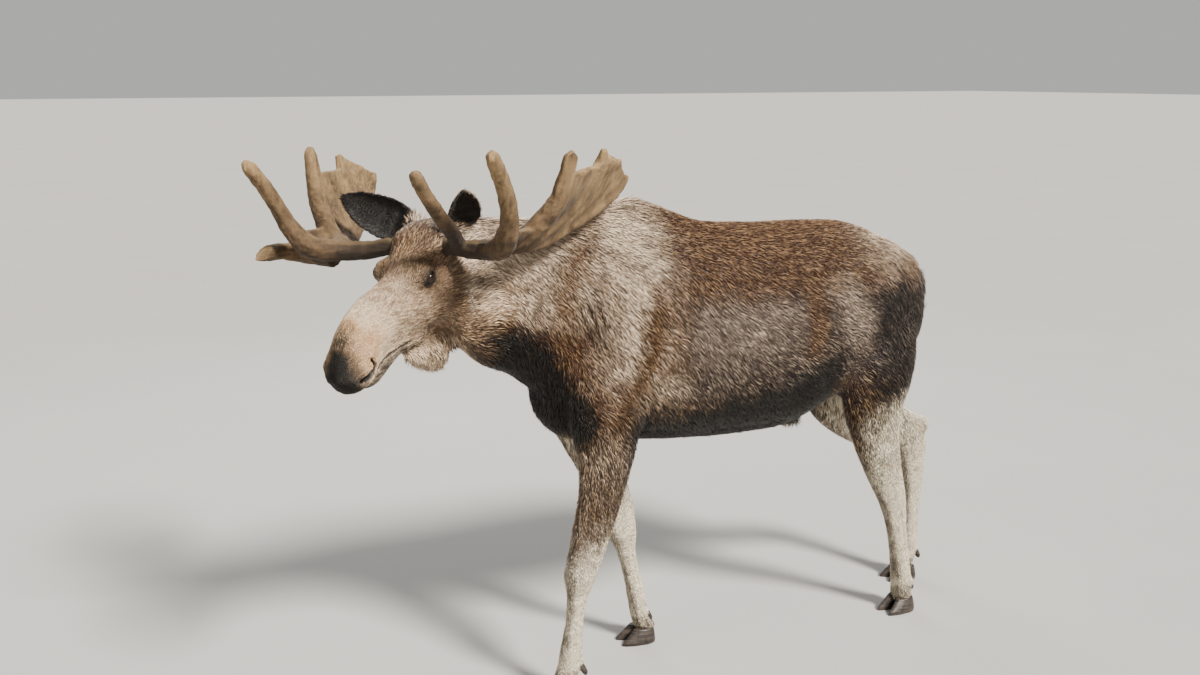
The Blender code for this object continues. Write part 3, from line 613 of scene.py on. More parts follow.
# Where each colour of the coat and its painted shade lies, along X and up on the flank.
BELLY_EDGE = ([-0.32, -0.22, -0.04, 0.11, 0.30, 0.42, 0.50, 0.58],
              [1.10, 1.10, 1.06, 1.105, 1.13, 1.16, 1.18, 1.22])
CHEST_EDGE = ([-0.64, -0.58, -0.51, -0.45, -0.42, -0.40], [1.45, 1.410, 1.345, 1.245, 1.140, 1.04])
NECK_BAND = [(-0.32, 1.80), (-0.41, 1.67), (-0.465, 1.59), (-0.490, 1.523), (-0.480, 1.38)]
ELBOW_BAND = [(-0.120, 1.62), (-0.150, 1.46), (-0.180, 1.33), (-0.222, 1.223), (-0.285, 1.161),
              (-0.300, 0.98)]
RUMP_TOP = ([0.82, 0.92, 1.00, 1.09, 1.20], [1.44, 1.475, 1.480, 1.459, 1.44])
# The front of the nose, black with dark skin and painted shade: up, and how far forward.
NOSE_FRONT = ([-0.16, -0.114, -0.100, -0.078, -0.05, -0.024, 0.004, 0.03],
              [0.655, 0.658, 0.655, 0.648, 0.632, 0.610, 0.575, 0.55])


def markings(spots, normals):
    """How strongly each colour of the coat, painted sheen and painted shade among them, shows at each
    point, from 0 to 1.
    """
    warp = 0.018 * ripple(spots, 0.17, 3) + 0.009 * ripple(spots, 0.05, 4)
    x, _, z = flank_places(spots).T
    x = x + warp
    z = z + 0.014 * ripple(spots, 0.14, 5) + 0.008 * ripple(spots, 0.045, 6)
    flat = np.column_stack([x, z])
    face = face_share(spots)
    body = 1 - face
    hind = ramp(spots[:, 0], 0.25, 0.55)
    forward, aside, above = head_places(spots).T
    face_line = np.column_stack([forward, above])
    forward = forward + 0.3 * warp
    above = above + 0.006 * ripple(spots, 0.06, 8)
    patchy = 0.5 + 0.5 * ripple(spots, 0.12, 9)

    hump_x = x + 0.03 * ripple(spots, 0.075, 17) + 0.012 * ripple(spots, 0.022, 18)
    hump = np.exp(-(np.abs((hump_x + 0.21) / 0.150)) ** 2.4 - ((z - 1.66) / 0.20) ** 4)
    neck = ramp(-x, 0.28, 0.40) * ramp(z, 1.38, 1.52)
    shoulder = np.exp(-np.abs((hump_x + 0.24) / 0.135) ** 2.4 - ((z - 1.38) / 0.26) ** 4)
    behind_elbow = np.exp(-((x + 0.10) / 0.085) ** 2 - ((z - 1.17) / 0.075) ** 2)
    middle = np.exp(-((x - 0.20) / 0.26) ** 4 - ((z - 1.36) / 0.13) ** 2)
    thigh = np.exp(-((x - 0.71 + 0.25 * (z - 1.4)) / 0.080) ** 2 - ((z - 1.40) / 0.13) ** 2)
    rump_top = np.exp(-((x - 1.00) / 0.17) ** 2 - ((z - 1.62) / 0.10) ** 2)
    # A painted highlight along the lit edge of the fold before the stifle.
    painted_fold_highlight = ridge(flat, [(0.38, 1.238), (0.46, 1.230), (0.52, 1.205), (0.57, 1.155)], 0.016)
    # The silvery hump, neck, shoulder, middle of the flank, thigh and top of the rump are partly light
    # coat and partly a painted sheen where the light falls.
    silver_and_sheen = np.maximum.reduce([0.98 * hump, 0.72 * neck, 0.76 * shoulder, 0.60 * behind_elbow,
                                0.24 * middle, 0.44 * thigh, 0.74 * rump_top, 0.45 * painted_fold_highlight])
    # Painted shade in the grooves between the loose folds before the shoulder.
    painted_fold_shade = shoulder_folds(x, z, 0.055, 0.105) * (0.5 - 0.5 * fold_wave(x - warp, z))
    # Painted shade under the fold before the stifle.
    painted_shade_under_fold = ridge(flat, [(0.44, 1.190), (0.50, 1.175), (0.55, 1.140), (0.60, 1.09)], 0.024)
    # Painted shade in the hollow behind the jaw.
    painted_jaw_hollow_shade = ridge(flat, [(-0.745, 1.475), (-0.705, 1.430), (-0.665, 1.405)], 0.020)
    neck_band = ridge(flat, NECK_BAND, 0.042) * (0.6 + 0.4 * patchy)
    elbow_band = ridge(flat, ELBOW_BAND, 0.045)
    flank_band = np.exp(-((x - 0.525) / 0.050) ** 4 - ((z - 1.37) / 0.15) ** 4)
    # The brown bands, with the painted shade in the jaw's hollow and in the folds, take away the
    # silvery colour.
    bands_and_painted_shade = np.maximum.reduce([neck_band, painted_jaw_hollow_shade, 0.7 * painted_fold_shade, elbow_band])
    silver_and_sheen = silver_and_sheen * (1 - 0.90 * bands_and_painted_shade)
    silver_and_sheen = silver_and_sheen * (1 - 0.8 * flank_band)
    silver_and_sheen = np.clip(silver_and_sheen * (0.66 + 0.60 * patchy) - 0.03, 0, 1)

    grey = ramp(-z, -1.54, -1.42) * ramp(z, 1.06, 1.16) * ramp(x, -0.12, 0.05)
    grey = grey * (1 - 0.7 * flank_band)
    belly_gap = np.interp(x, *BELLY_EDGE) - z
    along_trunk = ramp(x, -0.34, -0.22) * ramp(-x, -0.74, -0.63) * ramp(z, 0.80, 0.92)
    dark = 0.75 * ramp(belly_gap, -0.22, 0.0) * along_trunk * (1 - 0.6 * behind_elbow)
    foreleg_dark = 0.42 * ramp(-z, -1.12, -0.86) * (1 - hind)
    thigh_dark = 0.80 * hind * ramp(-z, -1.24, -1.06)
    dark = np.maximum.reduce([dark, foreleg_dark, thigh_dark, 0.48 * neck_band, 0.40 * flank_band,
                              0.58 * elbow_band, 0.75 * painted_jaw_hollow_shade, 0.85 * painted_fold_shade])
    # The black of the belly and chest is partly the coat's own dark hair and partly painted shade on
    # the underside and the front of the chest.
    belly = ramp(belly_gap, -0.035, 0.045) * along_trunk
    chest = ramp(np.interp(x, *CHEST_EDGE) - z, -0.04, 0.05)
    chest = chest * ramp(-x, 0.37, 0.45) * ramp(z, 0.92, 1.05)
    rump = ramp(x, 0.77, 0.90) * ramp(np.interp(x, *RUMP_TOP) - z, -0.03, 0.05)
    rump = rump * ramp(z, 0.96, 1.06)
    black = np.maximum.reduce([belly, chest, 0.76 * rump, 0.75 * painted_shade_under_fold]) * body

    inward = -np.sign(spots[:, 1] - midline) * normals[:, 1]
    front_facing = ramp(-normals[:, 0], 0.35, 0.80)
    rear_facing = ramp(normals[:, 0], -0.2, 0.5)
    fore_height = 0.575 + 0.08 * ramp(inward, 0.1, 0.6) + 0.03 * rear_facing
    hind_height = 0.900 + 0.12 * rear_facing + 0.08 * ramp(inward, 0.1, 0.6)
    hind_height = hind_height - 0.16 * front_facing
    height = fore_height + (hind_height - fore_height) * hind
    height = height + 0.035 * ripple(spots, 0.050, 12) + 0.030 * ripple(spots, 0.018, 13)
    pale = ramp(height - z, -0.14, 0.09)
    inner_pale = ramp(inward, 0.1, 0.6) * ramp(1.04 - z, 0.0, 0.12) * 0.7
    # The legs' front-facing sides are darker: partly dark hair and partly painted shade on the side
    # turned from the light.
    front_stripe_and_shade = front_facing * ramp(z, 0.12, 0.20) * (0.60 + 0.15 * hind) * (0.6 + 0.4 * patchy)
    gaskin_front = ramp(-normals[:, 0] + 0.3 * ripple(spots, 0.04, 16), 0.0, 0.65)
    gaskin_front = gaskin_front * ramp(z, 0.48, 0.80) * hind
    front_stripe_and_shade = np.maximum(front_stripe_and_shade, 0.80 * gaskin_front)
    groin = hind * ramp(z, 0.90, 0.98) * ramp(-x, -0.82, -0.70)
    cream = np.maximum(pale, inner_pale) * (1 - 0.85 * groin) * (1 - front_stripe_and_shade)
    cream = cream * (0.90 + 0.10 * ripple(spots, 0.06, 14))
    coronet = ramp(-z, -0.135, -0.105)
    cream = cream * (1 - 0.55 * coronet) * body
    forearm = ramp(-z, -1.12, -0.95) * (1 - hind) * (1 - chest)
    silver_and_sheen = np.maximum(silver_and_sheen, (0.12 + 0.12 * patchy + 0.16 * ramp(z, 0.75, 0.95)) * forearm)

    # The head: a pale muzzle, ochre over the nose, black down its front (dark skin and painted shade),
    # dark lips, painted shade under the jaw, and darker eyes and pate (dark hair and painted shade).
    nose_gap = forward - np.interp(above, *NOSE_FRONT)
    nose = ramp(nose_gap, -0.046, 0.012) * ramp(above, -0.24, -0.19)
    nostril_gap, share = line_gap(face_line, NOSTRIL)
    outer = ramp(aside, 0.02, 0.04)
    nostril = (1 - ramp(nostril_gap - nostril_width(share), -0.001, 0.005)) * outer
    mouth_gap = line_gap(face_line, MOUTH)[0]
    lips = 1 - ramp(mouth_gap, 0.003, 0.008)
    mouth_height = np.interp(face_line[:, 0], [place[0] for place in reversed(MOUTH)],
                             [place[1] for place in reversed(MOUTH)])
    lower_lip = ramp(mouth_height - face_line[:, 1], 0.002, 0.010) * ramp(forward, 0.36, 0.42)
    upper_rim = np.exp(-((face_line[:, 1] - mouth_height - 0.014) / 0.007) ** 2)
    upper_rim = upper_rim * ramp(forward, 0.42, 0.50)
    # Dark lids' edges, and darker hair round each eye that is partly the coat's own and partly painted
    # shade in the eye's hollow.
    socket = np.zeros(len(spots))
    for side, eye in eye_middles.items():
        gap = np.linalg.norm((spots - np.array(eye)) @ HEAD_AXES.T * (0.8, 1, 1.1), axis=1)
        depth, _, opening, _ = eye_places(spots, side)
        rim = (1 - ramp(opening, 1.15, 1.7)) * (depth > 0) * (depth < 0.04)
        socket = np.maximum.reduce([socket, 0.8 * (1 - ramp(gap, 0.025, 0.045)), 1.3 * rim])
    ears = ear_share(spots)
    hollow = ear_hollow(spots, normals)
    bell = bell_share(spots)
    # Painted shade under the jaw.
    painted_shade_under_jaw = np.exp(-((above + 0.245 + 0.25 * (forward - 0.33)) / 0.022) ** 2)
    painted_shade_under_jaw = painted_shade_under_jaw * ramp(forward, 0.2, 0.28)
    face_black = np.maximum.reduce([nose * (1 - 0.75 * upper_rim), nostril, 0.9 * lips,
                                    0.85 * lower_lip, 0.75 * socket, hollow,
                                    0.5 * painted_shade_under_jaw * (1 - bell)])
    black = np.maximum(black, face_black * face) * (1 - 0.75 * bell)
    muzzle = ramp(forward, 0.36, 0.50)
    cream = np.maximum(cream, (0.60 * muzzle + 0.10 * ramp(forward, 0.15, 0.3)) * face * (1 - bell))
    over_nose = np.exp(-((forward - 0.570) / 0.075) ** 2 - ((above + 0.045) / 0.055) ** 2)
    beside_black = np.exp(-((nose_gap + 0.022) / 0.020) ** 2) * ramp(above, -0.15, -0.10)
    ochre = 0.52 * over_nose + 0.44 * beside_black + 0.40 * ramp(forward, 0.24, 0.52)
    ochre = np.clip(ochre, 0, 0.8) * (0.8 + 0.2 * patchy)
    ochre = np.maximum(ochre, 0.20 * ramp(forward, 0.02, 0.25)) * face
    pale_face = face * (0.22 + 0.30 * ramp(forward, 0.2, 0.4)) + 0.45 * bell
    silver_and_sheen = np.maximum(silver_and_sheen * body, pale_face)
    # Darker hair over the pate, partly the coat's own and partly painted shade under the antlers.
    dark_pate_and_shade = 0.75 * ramp(-forward, -0.36, -0.14) * ramp(above, -0.12, 0.0) * (1 - ears)
    cheek = 0.28 * ramp(-above, 0.08, 0.20) * ramp(-forward, -0.46, -0.30) * (1 - bell)
    dark = np.maximum(dark * body, face * (np.maximum(dark_pate_and_shade, cheek) + 0.10 * ripple(spots, 0.035, 15)))
    throat = 0.20 * ramp(-above, 0.20, 0.30) * ramp(-forward, -0.24, -0.17) * ramp(-x, 0.62, 0.72)
    warm_bands = np.maximum.reduce([0.15 * neck_band, 0.11 * elbow_band, 0.09 * flank_band])
    ochre = np.maximum(np.maximum(ochre, throat * body), warm_bands * body)
    return {"silver_and_sheen": silver_and_sheen, "grey": grey * body, "dark": np.clip(dark, 0, 1),
            "cream": cream, "ochre": ochre, "black": black}


def give_values(mesh, values):
    """Stores a number at each point of the mesh under each name."""
    for name, numbers in values.items():
        layer = mesh.attributes.new(name, "FLOAT", "POINT")
        layer.data.foreach_set("value", np.asarray(numbers, np.float32))


def tint(red, green, blue):
    """A colour given by its screen values, as the shader takes it."""
    parts = np.array([red, green, blue]) / 255
    return (*np.where(parts > 0.04045, ((parts + 0.055) / 1.055) ** 2.4, parts / 12.92), 1)


class Wire:
    """A value in a material's nodes, which can be added and multiplied as numbers are."""

    def __init__(self, tree, socket=None):
        self.tree = tree
        self.socket = socket

    def make(self, kind, settings, inputs, output=0):
        """Adds a node, sets it up, feeds its inputs and gives back one of its outputs."""
        node = self.tree.nodes.new(kind)
        for name, value in settings.items():
            setattr(node, name, value)
        for name, value in inputs.items():
            if isinstance(value, Wire):
                self.tree.links.new(value.socket, node.inputs[name])
            else:
                node.inputs[name].default_value = value
        return Wire(self.tree, node.outputs[output])

    def maths(self, operation, *values):
        return self.make("ShaderNodeMath", {"operation": operation}, dict(enumerate(values)))

    def __add__(self, other):
        return self.maths("ADD", self, other)

    def __sub__(self, other):
        return self.maths("SUBTRACT", self, other)

    def __rsub__(self, other):
        return self.maths("SUBTRACT", other, self)

    def __mul__(self, other):
        return self.maths("MULTIPLY", self, other)

    __radd__ = __add__
    __rmul__ = __mul__

    def between(self, low, high, start=0.0, end=1.0):
        """Goes smoothly from start to end as this goes from low to high."""
        inputs = {"Value": self, "From Min": low, "From Max": high, "To Min": start, "To Max": end}
        return self.make("ShaderNodeMapRange", {"interpolation_type": "SMOOTHSTEP"}, inputs)

    def value_of(self, name):
        """The number that the mesh stores at each point under this name."""
        return self.make("ShaderNodeAttribute", {"attribute_name": name}, {}, "Fac")

    def noise(self, place, scale, detail=3.0, stretch=(1, 1, 1)):
        """Smooth unevenness over the places, between 0 and 1."""
        if stretch != (1, 1, 1):
            place = self.make("ShaderNodeMapping", {}, {"Vector": place, "Scale": stretch})
        inputs = {"Vector": place, "Scale": scale, "Detail": detail}
        return self.make("ShaderNodeTexNoise", {}, inputs, "Fac")

    def mix(self, first, second, blend="MIX"):
        """The first colour where this is 0, and the second where it is 1."""
        settings = {"data_type": "RGBA", "blend_type": blend}
        return self.make("ShaderNodeMix", settings, {0: self, 6: first, 7: second}, 2)

    def bump(self, strength, distance):
        inputs = {"Height": self, "Strength": strength, "Distance": distance}
        return self.make("ShaderNodeBump", {}, inputs)


def new_material(name, **constants):
    """A material, its wires and its main shader, with what is the same all over set on the shader."""
    material = bpy.data.materials.new(name)
    material.use_nodes = True
    tree = material.node_tree
    shader = tree.nodes["Principled BSDF"]
    for socket, value in constants.items():
        shader.inputs[socket.replace("_", " ")].default_value = value
    return material, Wire(tree), shader


def plug(shader, **wires):
    """Leads each wire to the shader's socket of that name."""
    for socket, wire in wires.items():
        shader.id_data.links.new(wire.socket, shader.inputs[socket.replace("_", " ")])


# The silvery colour is partly the coat's own and partly a painted sheen; the dark and black ones are
# partly the coat's own and partly painted shade in folds, hollows and under the body.
COAT_COLOURS = {
    "brown": tint(80, 52, 31),
    "grey": tint(84, 70, 63),
    "dark": tint(44, 28, 17),
    "silver_and_sheen": tint(226, 203, 176),
    "cream": tint(250, 238, 212),
    "ochre": tint(180, 126, 64),
    "black": tint(9, 7, 6),
}


def coat_colour(wire):
    """The coat's colour from its markings, painted sheen and painted shade among them."""
    colour = COAT_COLOURS["brown"]
    for name in ("grey", "silver_and_sheen", "dark", "cream", "ochre", "black"):
        colour = wire.value_of(name).mix(colour, COAT_COLOURS[name])
    return colour


# Skin under the coat, with the short hair that lies flat as fine ridges.
skin_material, wire, shader = new_material("short_hair", Roughness=0.55, Specular_IOR_Level=0.3)
place = wire.make("ShaderNodeTexCoord", {}, {}, "Object")
fine = wire.noise(place, 260.0, 2.0, (1.0, 1.0, 0.22))
clumps = wire.noise(place, 34.0, 3.0)
colour = coat_colour(wire)
shadow = (fine * 0.6 + clumps * 0.4).between(0.3, 0.7, 0.72, 0.46)
plug(shader, Base_Color=shadow.mix(colour, tint(20, 14, 10)), Normal=(fine + clumps).bump(0.5, 0.002))

hide.data.materials.append(skin_material)
skin_spots, skin_normals = points_of(hide.data), normals_of(hide.data)
skin_ends = edges_of(hide.data)
areas = np.zeros(len(hide.data.polygons))
hide.data.polygons.foreach_get("area", areas)
corner_points = np.zeros(len(hide.data.loops), int)
hide.data.loops.foreach_get("vertex_index", corner_points)
corner_counts = np.zeros(len(areas), int)
hide.data.polygons.foreach_get("loop_total", corner_counts)
corner_areas = np.repeat(areas / corner_counts, corner_counts)
point_area = np.bincount(corner_points, corner_areas, len(skin_spots))

# The hide is thinned out away from the head and feet, where the coat hides it.
keep = np.clip(head_share(skin_spots) * 0.8 + ramp(-skin_spots[:, 2], -0.30, -0.15) * 0.4, 0, 1)
group = hide.vertex_groups.new(name="thin")
for level in range(1, 11):
    chosen = np.nonzero(np.round((1 - keep) * 10) == level)[0]
    group.add(chosen.tolist(), level / 10, "REPLACE")
thinning = hide.modifiers.new("thinning", "DECIMATE")
thinning.ratio = 0.20
thinning.vertex_group = "thin"
apply_modifiers(hide)
hide.vertex_groups.clear()
for polygon in hide.data.polygons:
    polygon.use_smooth = True
give_values(hide.data, markings(points_of(hide.data), normals_of(hide.data)))
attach(hide, "root")
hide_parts(*[node for node in FLESH + EARS if not node.startswith("eye_")])

# The coat. Locks of coarse hair lie over one another from nose to tail: shortest on the face and
# ears, short on the shins, and longest on the crest of the neck. Each lock is a thin closed blade.
COAT_LENGTHS = {"body": 0.040, "shin": 0.016, "face": 0.009, "mane": 0.080, "bell": 0.032,
                "ear": 0.013}
COAT_WIDTHS = {"body": 0.0034, "shin": 0.0022, "face": 0.0018, "mane": 0.0038, "bell": 0.0032,
               "ear": 0.0022}
LAYERS = 3.3  # how many locks cover each spot


def by_region(spots, values):
    """Blends one value per region of the body smoothly over it."""
    found = np.full(len(spots), values["body"])
    shares = {"mane": mane_share, "shin": shin_share, "face": face_share, "bell": bell_share,
              "ear": ear_share}
    for name, share_of in shares.items():
        found += (values[name] - found) * share_of(spots)
    return found


def cheek_growth(spots):
    """The face's hair is shortest on the nose, and grows towards the jaw and the neck."""
    forward = head_places(spots)[:, 0]
    near_eye = np.zeros(len(spots))
    for eye in eye_middles.values():
        gap = np.linalg.norm(spots - np.array(eye), axis=1)
        near_eye = np.maximum(near_eye, ramp(-gap, -0.055, -0.026))
    longer = np.interp(forward, [0.10, 0.30, 0.52, 0.62], [2.6, 1.8, 1.0, 0.7]) - 1
    longer = longer * face_share(spots) * (1 - bell_share(spots)) * (1 - ear_share(spots))
    return (1 - 0.76 * near_eye) * (1 + longer)


def lie_of_coat(spots, normals):
    """Which way the hair points from root to tip."""
    x, _, z = flank_places(spots).T
    side = np.sign(spots[:, 1] - midline)
    high = ramp(z - 0.05 * ramp(-x, 0.1, 0.4), 1.55, 1.72)
    slope = np.radians(52 - 30 * high - 18 * ramp(x, 0.0, 0.5) + 30 * ramp(x, 0.8, 1.05))
    flow = np.column_stack([np.cos(slope), side * 0.18 * high, -np.sin(slope)])
    low = ramp(-z, -1.12, -0.92)[:, None]
    flow = flow * (1 - low) + np.array([0.16, 0, -1.0]) * low
    underside = (ramp(-normals[:, 2], 0.5, 0.9) * ramp(z, 0.8, 1.0))[:, None]
    flow = flow * (1 - underside) + np.array([0.9, 0, -0.2]) * underside
    chest = (ramp(-x, 0.40, 0.50) * ramp(-z, -1.45, -1.25))[:, None]
    flow = flow * (1 - chest) + np.column_stack([0.25 + 0 * x, -0.3 * side, -1 + 0 * x]) * chest
    head = head_share(spots)[:, None]
    places = head_places(spots)
    head_flow = -HEAD_AXES[0] - HEAD_AXES[2] * (0.35 * ramp(-places[:, 2], 0.02, 0.14))[:, None]
    flow = flow * (1 - head) + head_flow * head
    bell = bell_share(spots)[:, None]
    flow = flow * (1 - bell) + np.array([0.25, 0, -1.0]) * bell
    for node in EARS:
        tip_way = np.array(middle_of(node) - poll - head_up * 0.02)
        share = one_ear(spots, node)[:, None]
        flow = flow * (1 - share) + tip_way / np.linalg.norm(tip_way) * share
    flow -= normals * (flow * normals).sum(axis=1)[:, None]
    return flow / np.maximum(np.linalg.norm(flow, axis=1), 1e-6)[:, None]


def bare(spots):
    """One inside the nostrils, on the lips and on the lids' edges."""
    places = head_places(spots)
    side_view = places[:, [0, 2]]
    outer = places[:, 1] > 0.02
    gap, share = line_gap(side_view, NOSTRIL)
    found = outer & (gap < nostril_width(share) + 0.001) & (places[:, 0] > 0.5)
    found |= outer & (line_gap(side_view, MOUTH)[0] < 0.0045) & (places[:, 0] > 0.3)
    for side in eye_middles:
        depth, _, opening, _ = eye_places(spots, side)
        found |= (opening < 1.20) & (depth > 0) & (depth < 0.04)
    return found


def drawn_out(spots, ends, flow, rounds, seed):
    """Unevenness drawn out along the flow over the surface, between -1 and 1."""
    way = spots[ends[:, 1]] - spots[ends[:, 0]]
    way /= np.maximum(np.linalg.norm(way, axis=1), 1e-9)[:, None]
    along = np.abs((way * (flow[ends[:, 0]] + flow[ends[:, 1]]) / 2).sum(axis=1))
    weight = along ** 8 + 0.0005
    total = np.bincount(ends.ravel(), np.repeat(weight, 2), len(spots))
    found = np.random.default_rng(seed).normal(size=len(spots))
    for turn in range(rounds):
        pulled = (np.bincount(ends[:, 0], weight * found[ends[:, 1]], len(spots))
                  + np.bincount(ends[:, 1], weight * found[ends[:, 0]], len(spots)))
        found = 0.3 * found + 0.7 * pulled / total
    return np.clip(found / found.std() / 1.6, -1, 1)


# The locks are spread evenly over the skin for their size, and none grows on bare skin.
growth = cheek_growth(skin_spots)
length = by_region(skin_spots, COAT_LENGTHS) * growth
width = by_region(skin_spots, COAT_WIDTHS) * (0.5 + 0.5 * growth)
weight = point_area * LAYERS / (length * width)
weight[bare(skin_spots) | (skin_normals[:, 2] < -0.5) & (skin_spots[:, 2] < 0.13)] = 0
total = weight.cumsum()
count = int(total[-1])
rng = np.random.default_rng(11)
chosen = np.searchsorted(total, (np.arange(count) + rng.random(count)) * total[-1] / count)
chosen = np.minimum(chosen, len(weight) - 1)

# Each lock's root, way, size and lift, which vary from clump to clump and from lock to lock.
up = skin_normals[chosen]
flow = lie_of_coat(skin_spots, skin_normals)
for turn in range(8):
    flow = averaged(flow, skin_ends)
clumps = drawn_out(skin_spots, skin_ends, flow, 12, 23)[chosen]
flow = flow[chosen]
flow -= up * (flow * up).sum(axis=1)[:, None]
flow /= np.linalg.norm(flow, axis=1)[:, None]
across = np.cross(up, flow)
roots = skin_spots[chosen] + flow * rng.uniform(-0.003, 0.003, (count, 1)) \
    + across * rng.uniform(-0.003, 0.003, (count, 1))
swirl = np.radians(9 * rng.normal(size=count) + 8 * ripple(roots, 0.10, 21)
                   + 6 * ripple(roots, 0.030, 22))
flow, across = (flow * np.cos(swirl)[:, None] + across * np.sin(swirl)[:, None],
                across * np.cos(swirl)[:, None] - flow * np.sin(swirl)[:, None])
lock_length = length[chosen] * rng.uniform(0.75, 1.25, count)
lock_width = width[chosen] * rng.uniform(0.7, 1.3, count)
lift = np.minimum(coat_depth(roots), 0.30 * lock_length) * rng.uniform(0.35, 1.0, count)
lift *= (1 - 0.5 * ear_share(roots)) * (0.78 + 0.30 * clumps)

# Each lock's colours, most mixed where two markings meet, and its place on the baked map.
lock_marks = markings(roots + 0.14 * lock_length[:, None] * rng.normal(size=(count, 3)), up)
mixed = 0.50 * clumps + 0.60 * rng.uniform(-1, 1, count)
for mark in ("cream", "black", "dark"):
    share = lock_marks[mark]
    edge = 4 * share * (1 - share)
    lock_marks[mark] = np.clip(share + 0.42 * edge * mixed * (1 if mark == "cream" else -1), 0, 1)
lock_marks["silver_and_sheen"] = np.clip(lock_marks["silver_and_sheen"] * (0.85 + 0.75 * mixed), 0, 1)
turn_round = np.arctan2(roots[:, 1] - midline, roots[:, 2] - 1.35) / (2 * np.pi) + 0.5
unwrap = np.column_stack([(roots[:, 0] + 1.6) / 3.2, turn_round])
lock_chance = np.clip(0.5 + 0.22 * clumps + 0.38 * rng.uniform(-1, 1, count), 0, 1)

# Each point of a lock: its share of the length, of the width to one side, of the lift and of the
# thickness.
LOCK_POINTS = {
    "short": [(0, -0.5, 0, -0.4), (0, 0.5, 0, -0.4), (0.4, 0, 0.5, 1), (1, 0, 1, 0)],
    "middle": [(0, 0, 0, -0.5), (0.35, -0.5, 0.55, 0), (0.35, 0.5, 0.55, 0), (0.38, 0, 0.6, 1),
               (1, 0, 1, 0)],
    "long": [(0, -0.3, 0, -0.4), (0, 0.3, 0, -0.4), (0, 0, 0, 1), (0.45, -0.5, 0.62, 0),
             (0.45, 0.5, 0.62, 0), (0.48, 0, 0.66, 1), (1, 0, 1, 0)],
}
LOCK_FACES = {
    "short": [(0, 2, 1), (0, 3, 2), (1, 2, 3), (0, 1, 3)],
    "middle": [(0, 2, 1), (0, 1, 3), (0, 3, 2), (1, 2, 4), (1, 4, 3), (2, 3, 4)],
    "long": [(0, 2, 1), (0, 1, 4, 3), (1, 2, 5, 4), (2, 0, 3, 5), (3, 4, 6), (4, 5, 6), (5, 3, 6)],
}
LOCK_TRIANGLES = {"short": 4, "middle": 6, "long": 10}


def build_locks(name, which, kind):
    """One mesh of many locks of one kind."""
    number = len(which)
    shape = LOCK_POINTS[kind]
    faces = LOCK_FACES[kind]
    long, wide, high = lock_length[which, None], lock_width[which, None], lift[which, None]
    rows = [
        roots[which] + flow[which] * long * share + across[which] * wide * side
        + up[which] * (high * raised + 0.25 * wide * thick)
        for share, side, raised, thick in shape
    ]
    points = np.stack(rows, axis=1).reshape(-1, 3)
    corners = np.concatenate(faces)
    loops = (np.arange(number)[:, None] * len(shape) + corners).ravel()
    totals = np.tile([len(face) for face in faces], number)
    mesh = bpy.data.meshes.new(name)
    mesh.vertices.add(len(points))
    mesh.vertices.foreach_set("co", points.ravel())
    mesh.loops.add(len(loops))
    mesh.loops.foreach_set("vertex_index", loops)
    mesh.polygons.add(len(totals))
    mesh.polygons.foreach_set("loop_start", np.concatenate([[0], totals.cumsum()[:-1]]))
    mesh.polygons.foreach_set("use_smooth", np.ones(len(totals), bool))
    mesh.update(calc_edges=True)
    spread = np.array([(side + 0.5, share) for share, side, raised, thick in shape])[corners]
    strand = mesh.uv_layers.new(name="Strand")
    strand.data.foreach_set("uv", np.tile(spread, (number, 1)).ravel())
    baked = mesh.uv_layers.new(name="OFBake")
    patch = unwrap[which][:, None, :] + 0.003 * (spread - 0.5)[None]
    baked.data.foreach_set("uv", patch.ravel())
    values = {mark: np.repeat(amount[which], len(shape)) for mark, amount in lock_marks.items()}
    values["chance"] = np.repeat(lock_chance[which], len(shape))
    give_values(mesh, values)
    item = bpy.data.objects.new(name, mesh)
    bpy.context.scene.collection.objects.link(item)
    return item


hair_material, wire, shader = new_material("hair_locks", Roughness=0.42, Specular_IOR_Level=0.38)
spread = wire.make("ShaderNodeUVMap", {"uv_map": "Strand"}, {})
across_lock = wire.make("ShaderNodeSeparateXYZ", {}, {"Vector": spread})
along_lock = Wire(wire.tree, across_lock.socket.node.outputs["Y"])
chance = wire.value_of("chance")
streak_place = wire.make("ShaderNodeCombineXYZ", {},
                         {0: across_lock * 5.0 + chance * 90.0, 1: along_lock * 1.4})
streak = wire.noise(streak_place, 1.0, 2.0)
colour = coat_colour(wire)
silver_and_sheen = wire.value_of("silver_and_sheen")
dark_share = streak.between(0.36, 0.62, 0.0, 0.30) + chance.between(0.0, 0.5, 0.38, 0.0)
dark_share = dark_share * (1 - (silver_and_sheen + wire.value_of("cream")) * 0.40)
colour = dark_share.mix(colour, tint(24, 15, 10))
root_shade = along_lock.between(0.0, 0.40, 0.26, 0.0)
colour = root_shade.mix(colour, tint(18, 11, 7))
# Pale golden tips on some locks, partly the hair's own and partly painted sheen streaks.
pale_tip_and_sheen = along_lock.between(0.15, 0.8) * chance.between(0.55, 0.90) * (silver_and_sheen * 0.40 + 0.48)
pale_tip_and_sheen = pale_tip_and_sheen * (1 - wire.value_of("black") * 0.9)
greyness = silver_and_sheen + wire.value_of("grey") * 0.7
tip_colour = greyness.mix(tint(222, 180, 130), tint(240, 222, 198))
colour = pale_tip_and_sheen.mix(colour, tip_colour)
plug(shader, Base_Color=colour, Normal=streak.bump(0.5, 0.0008))

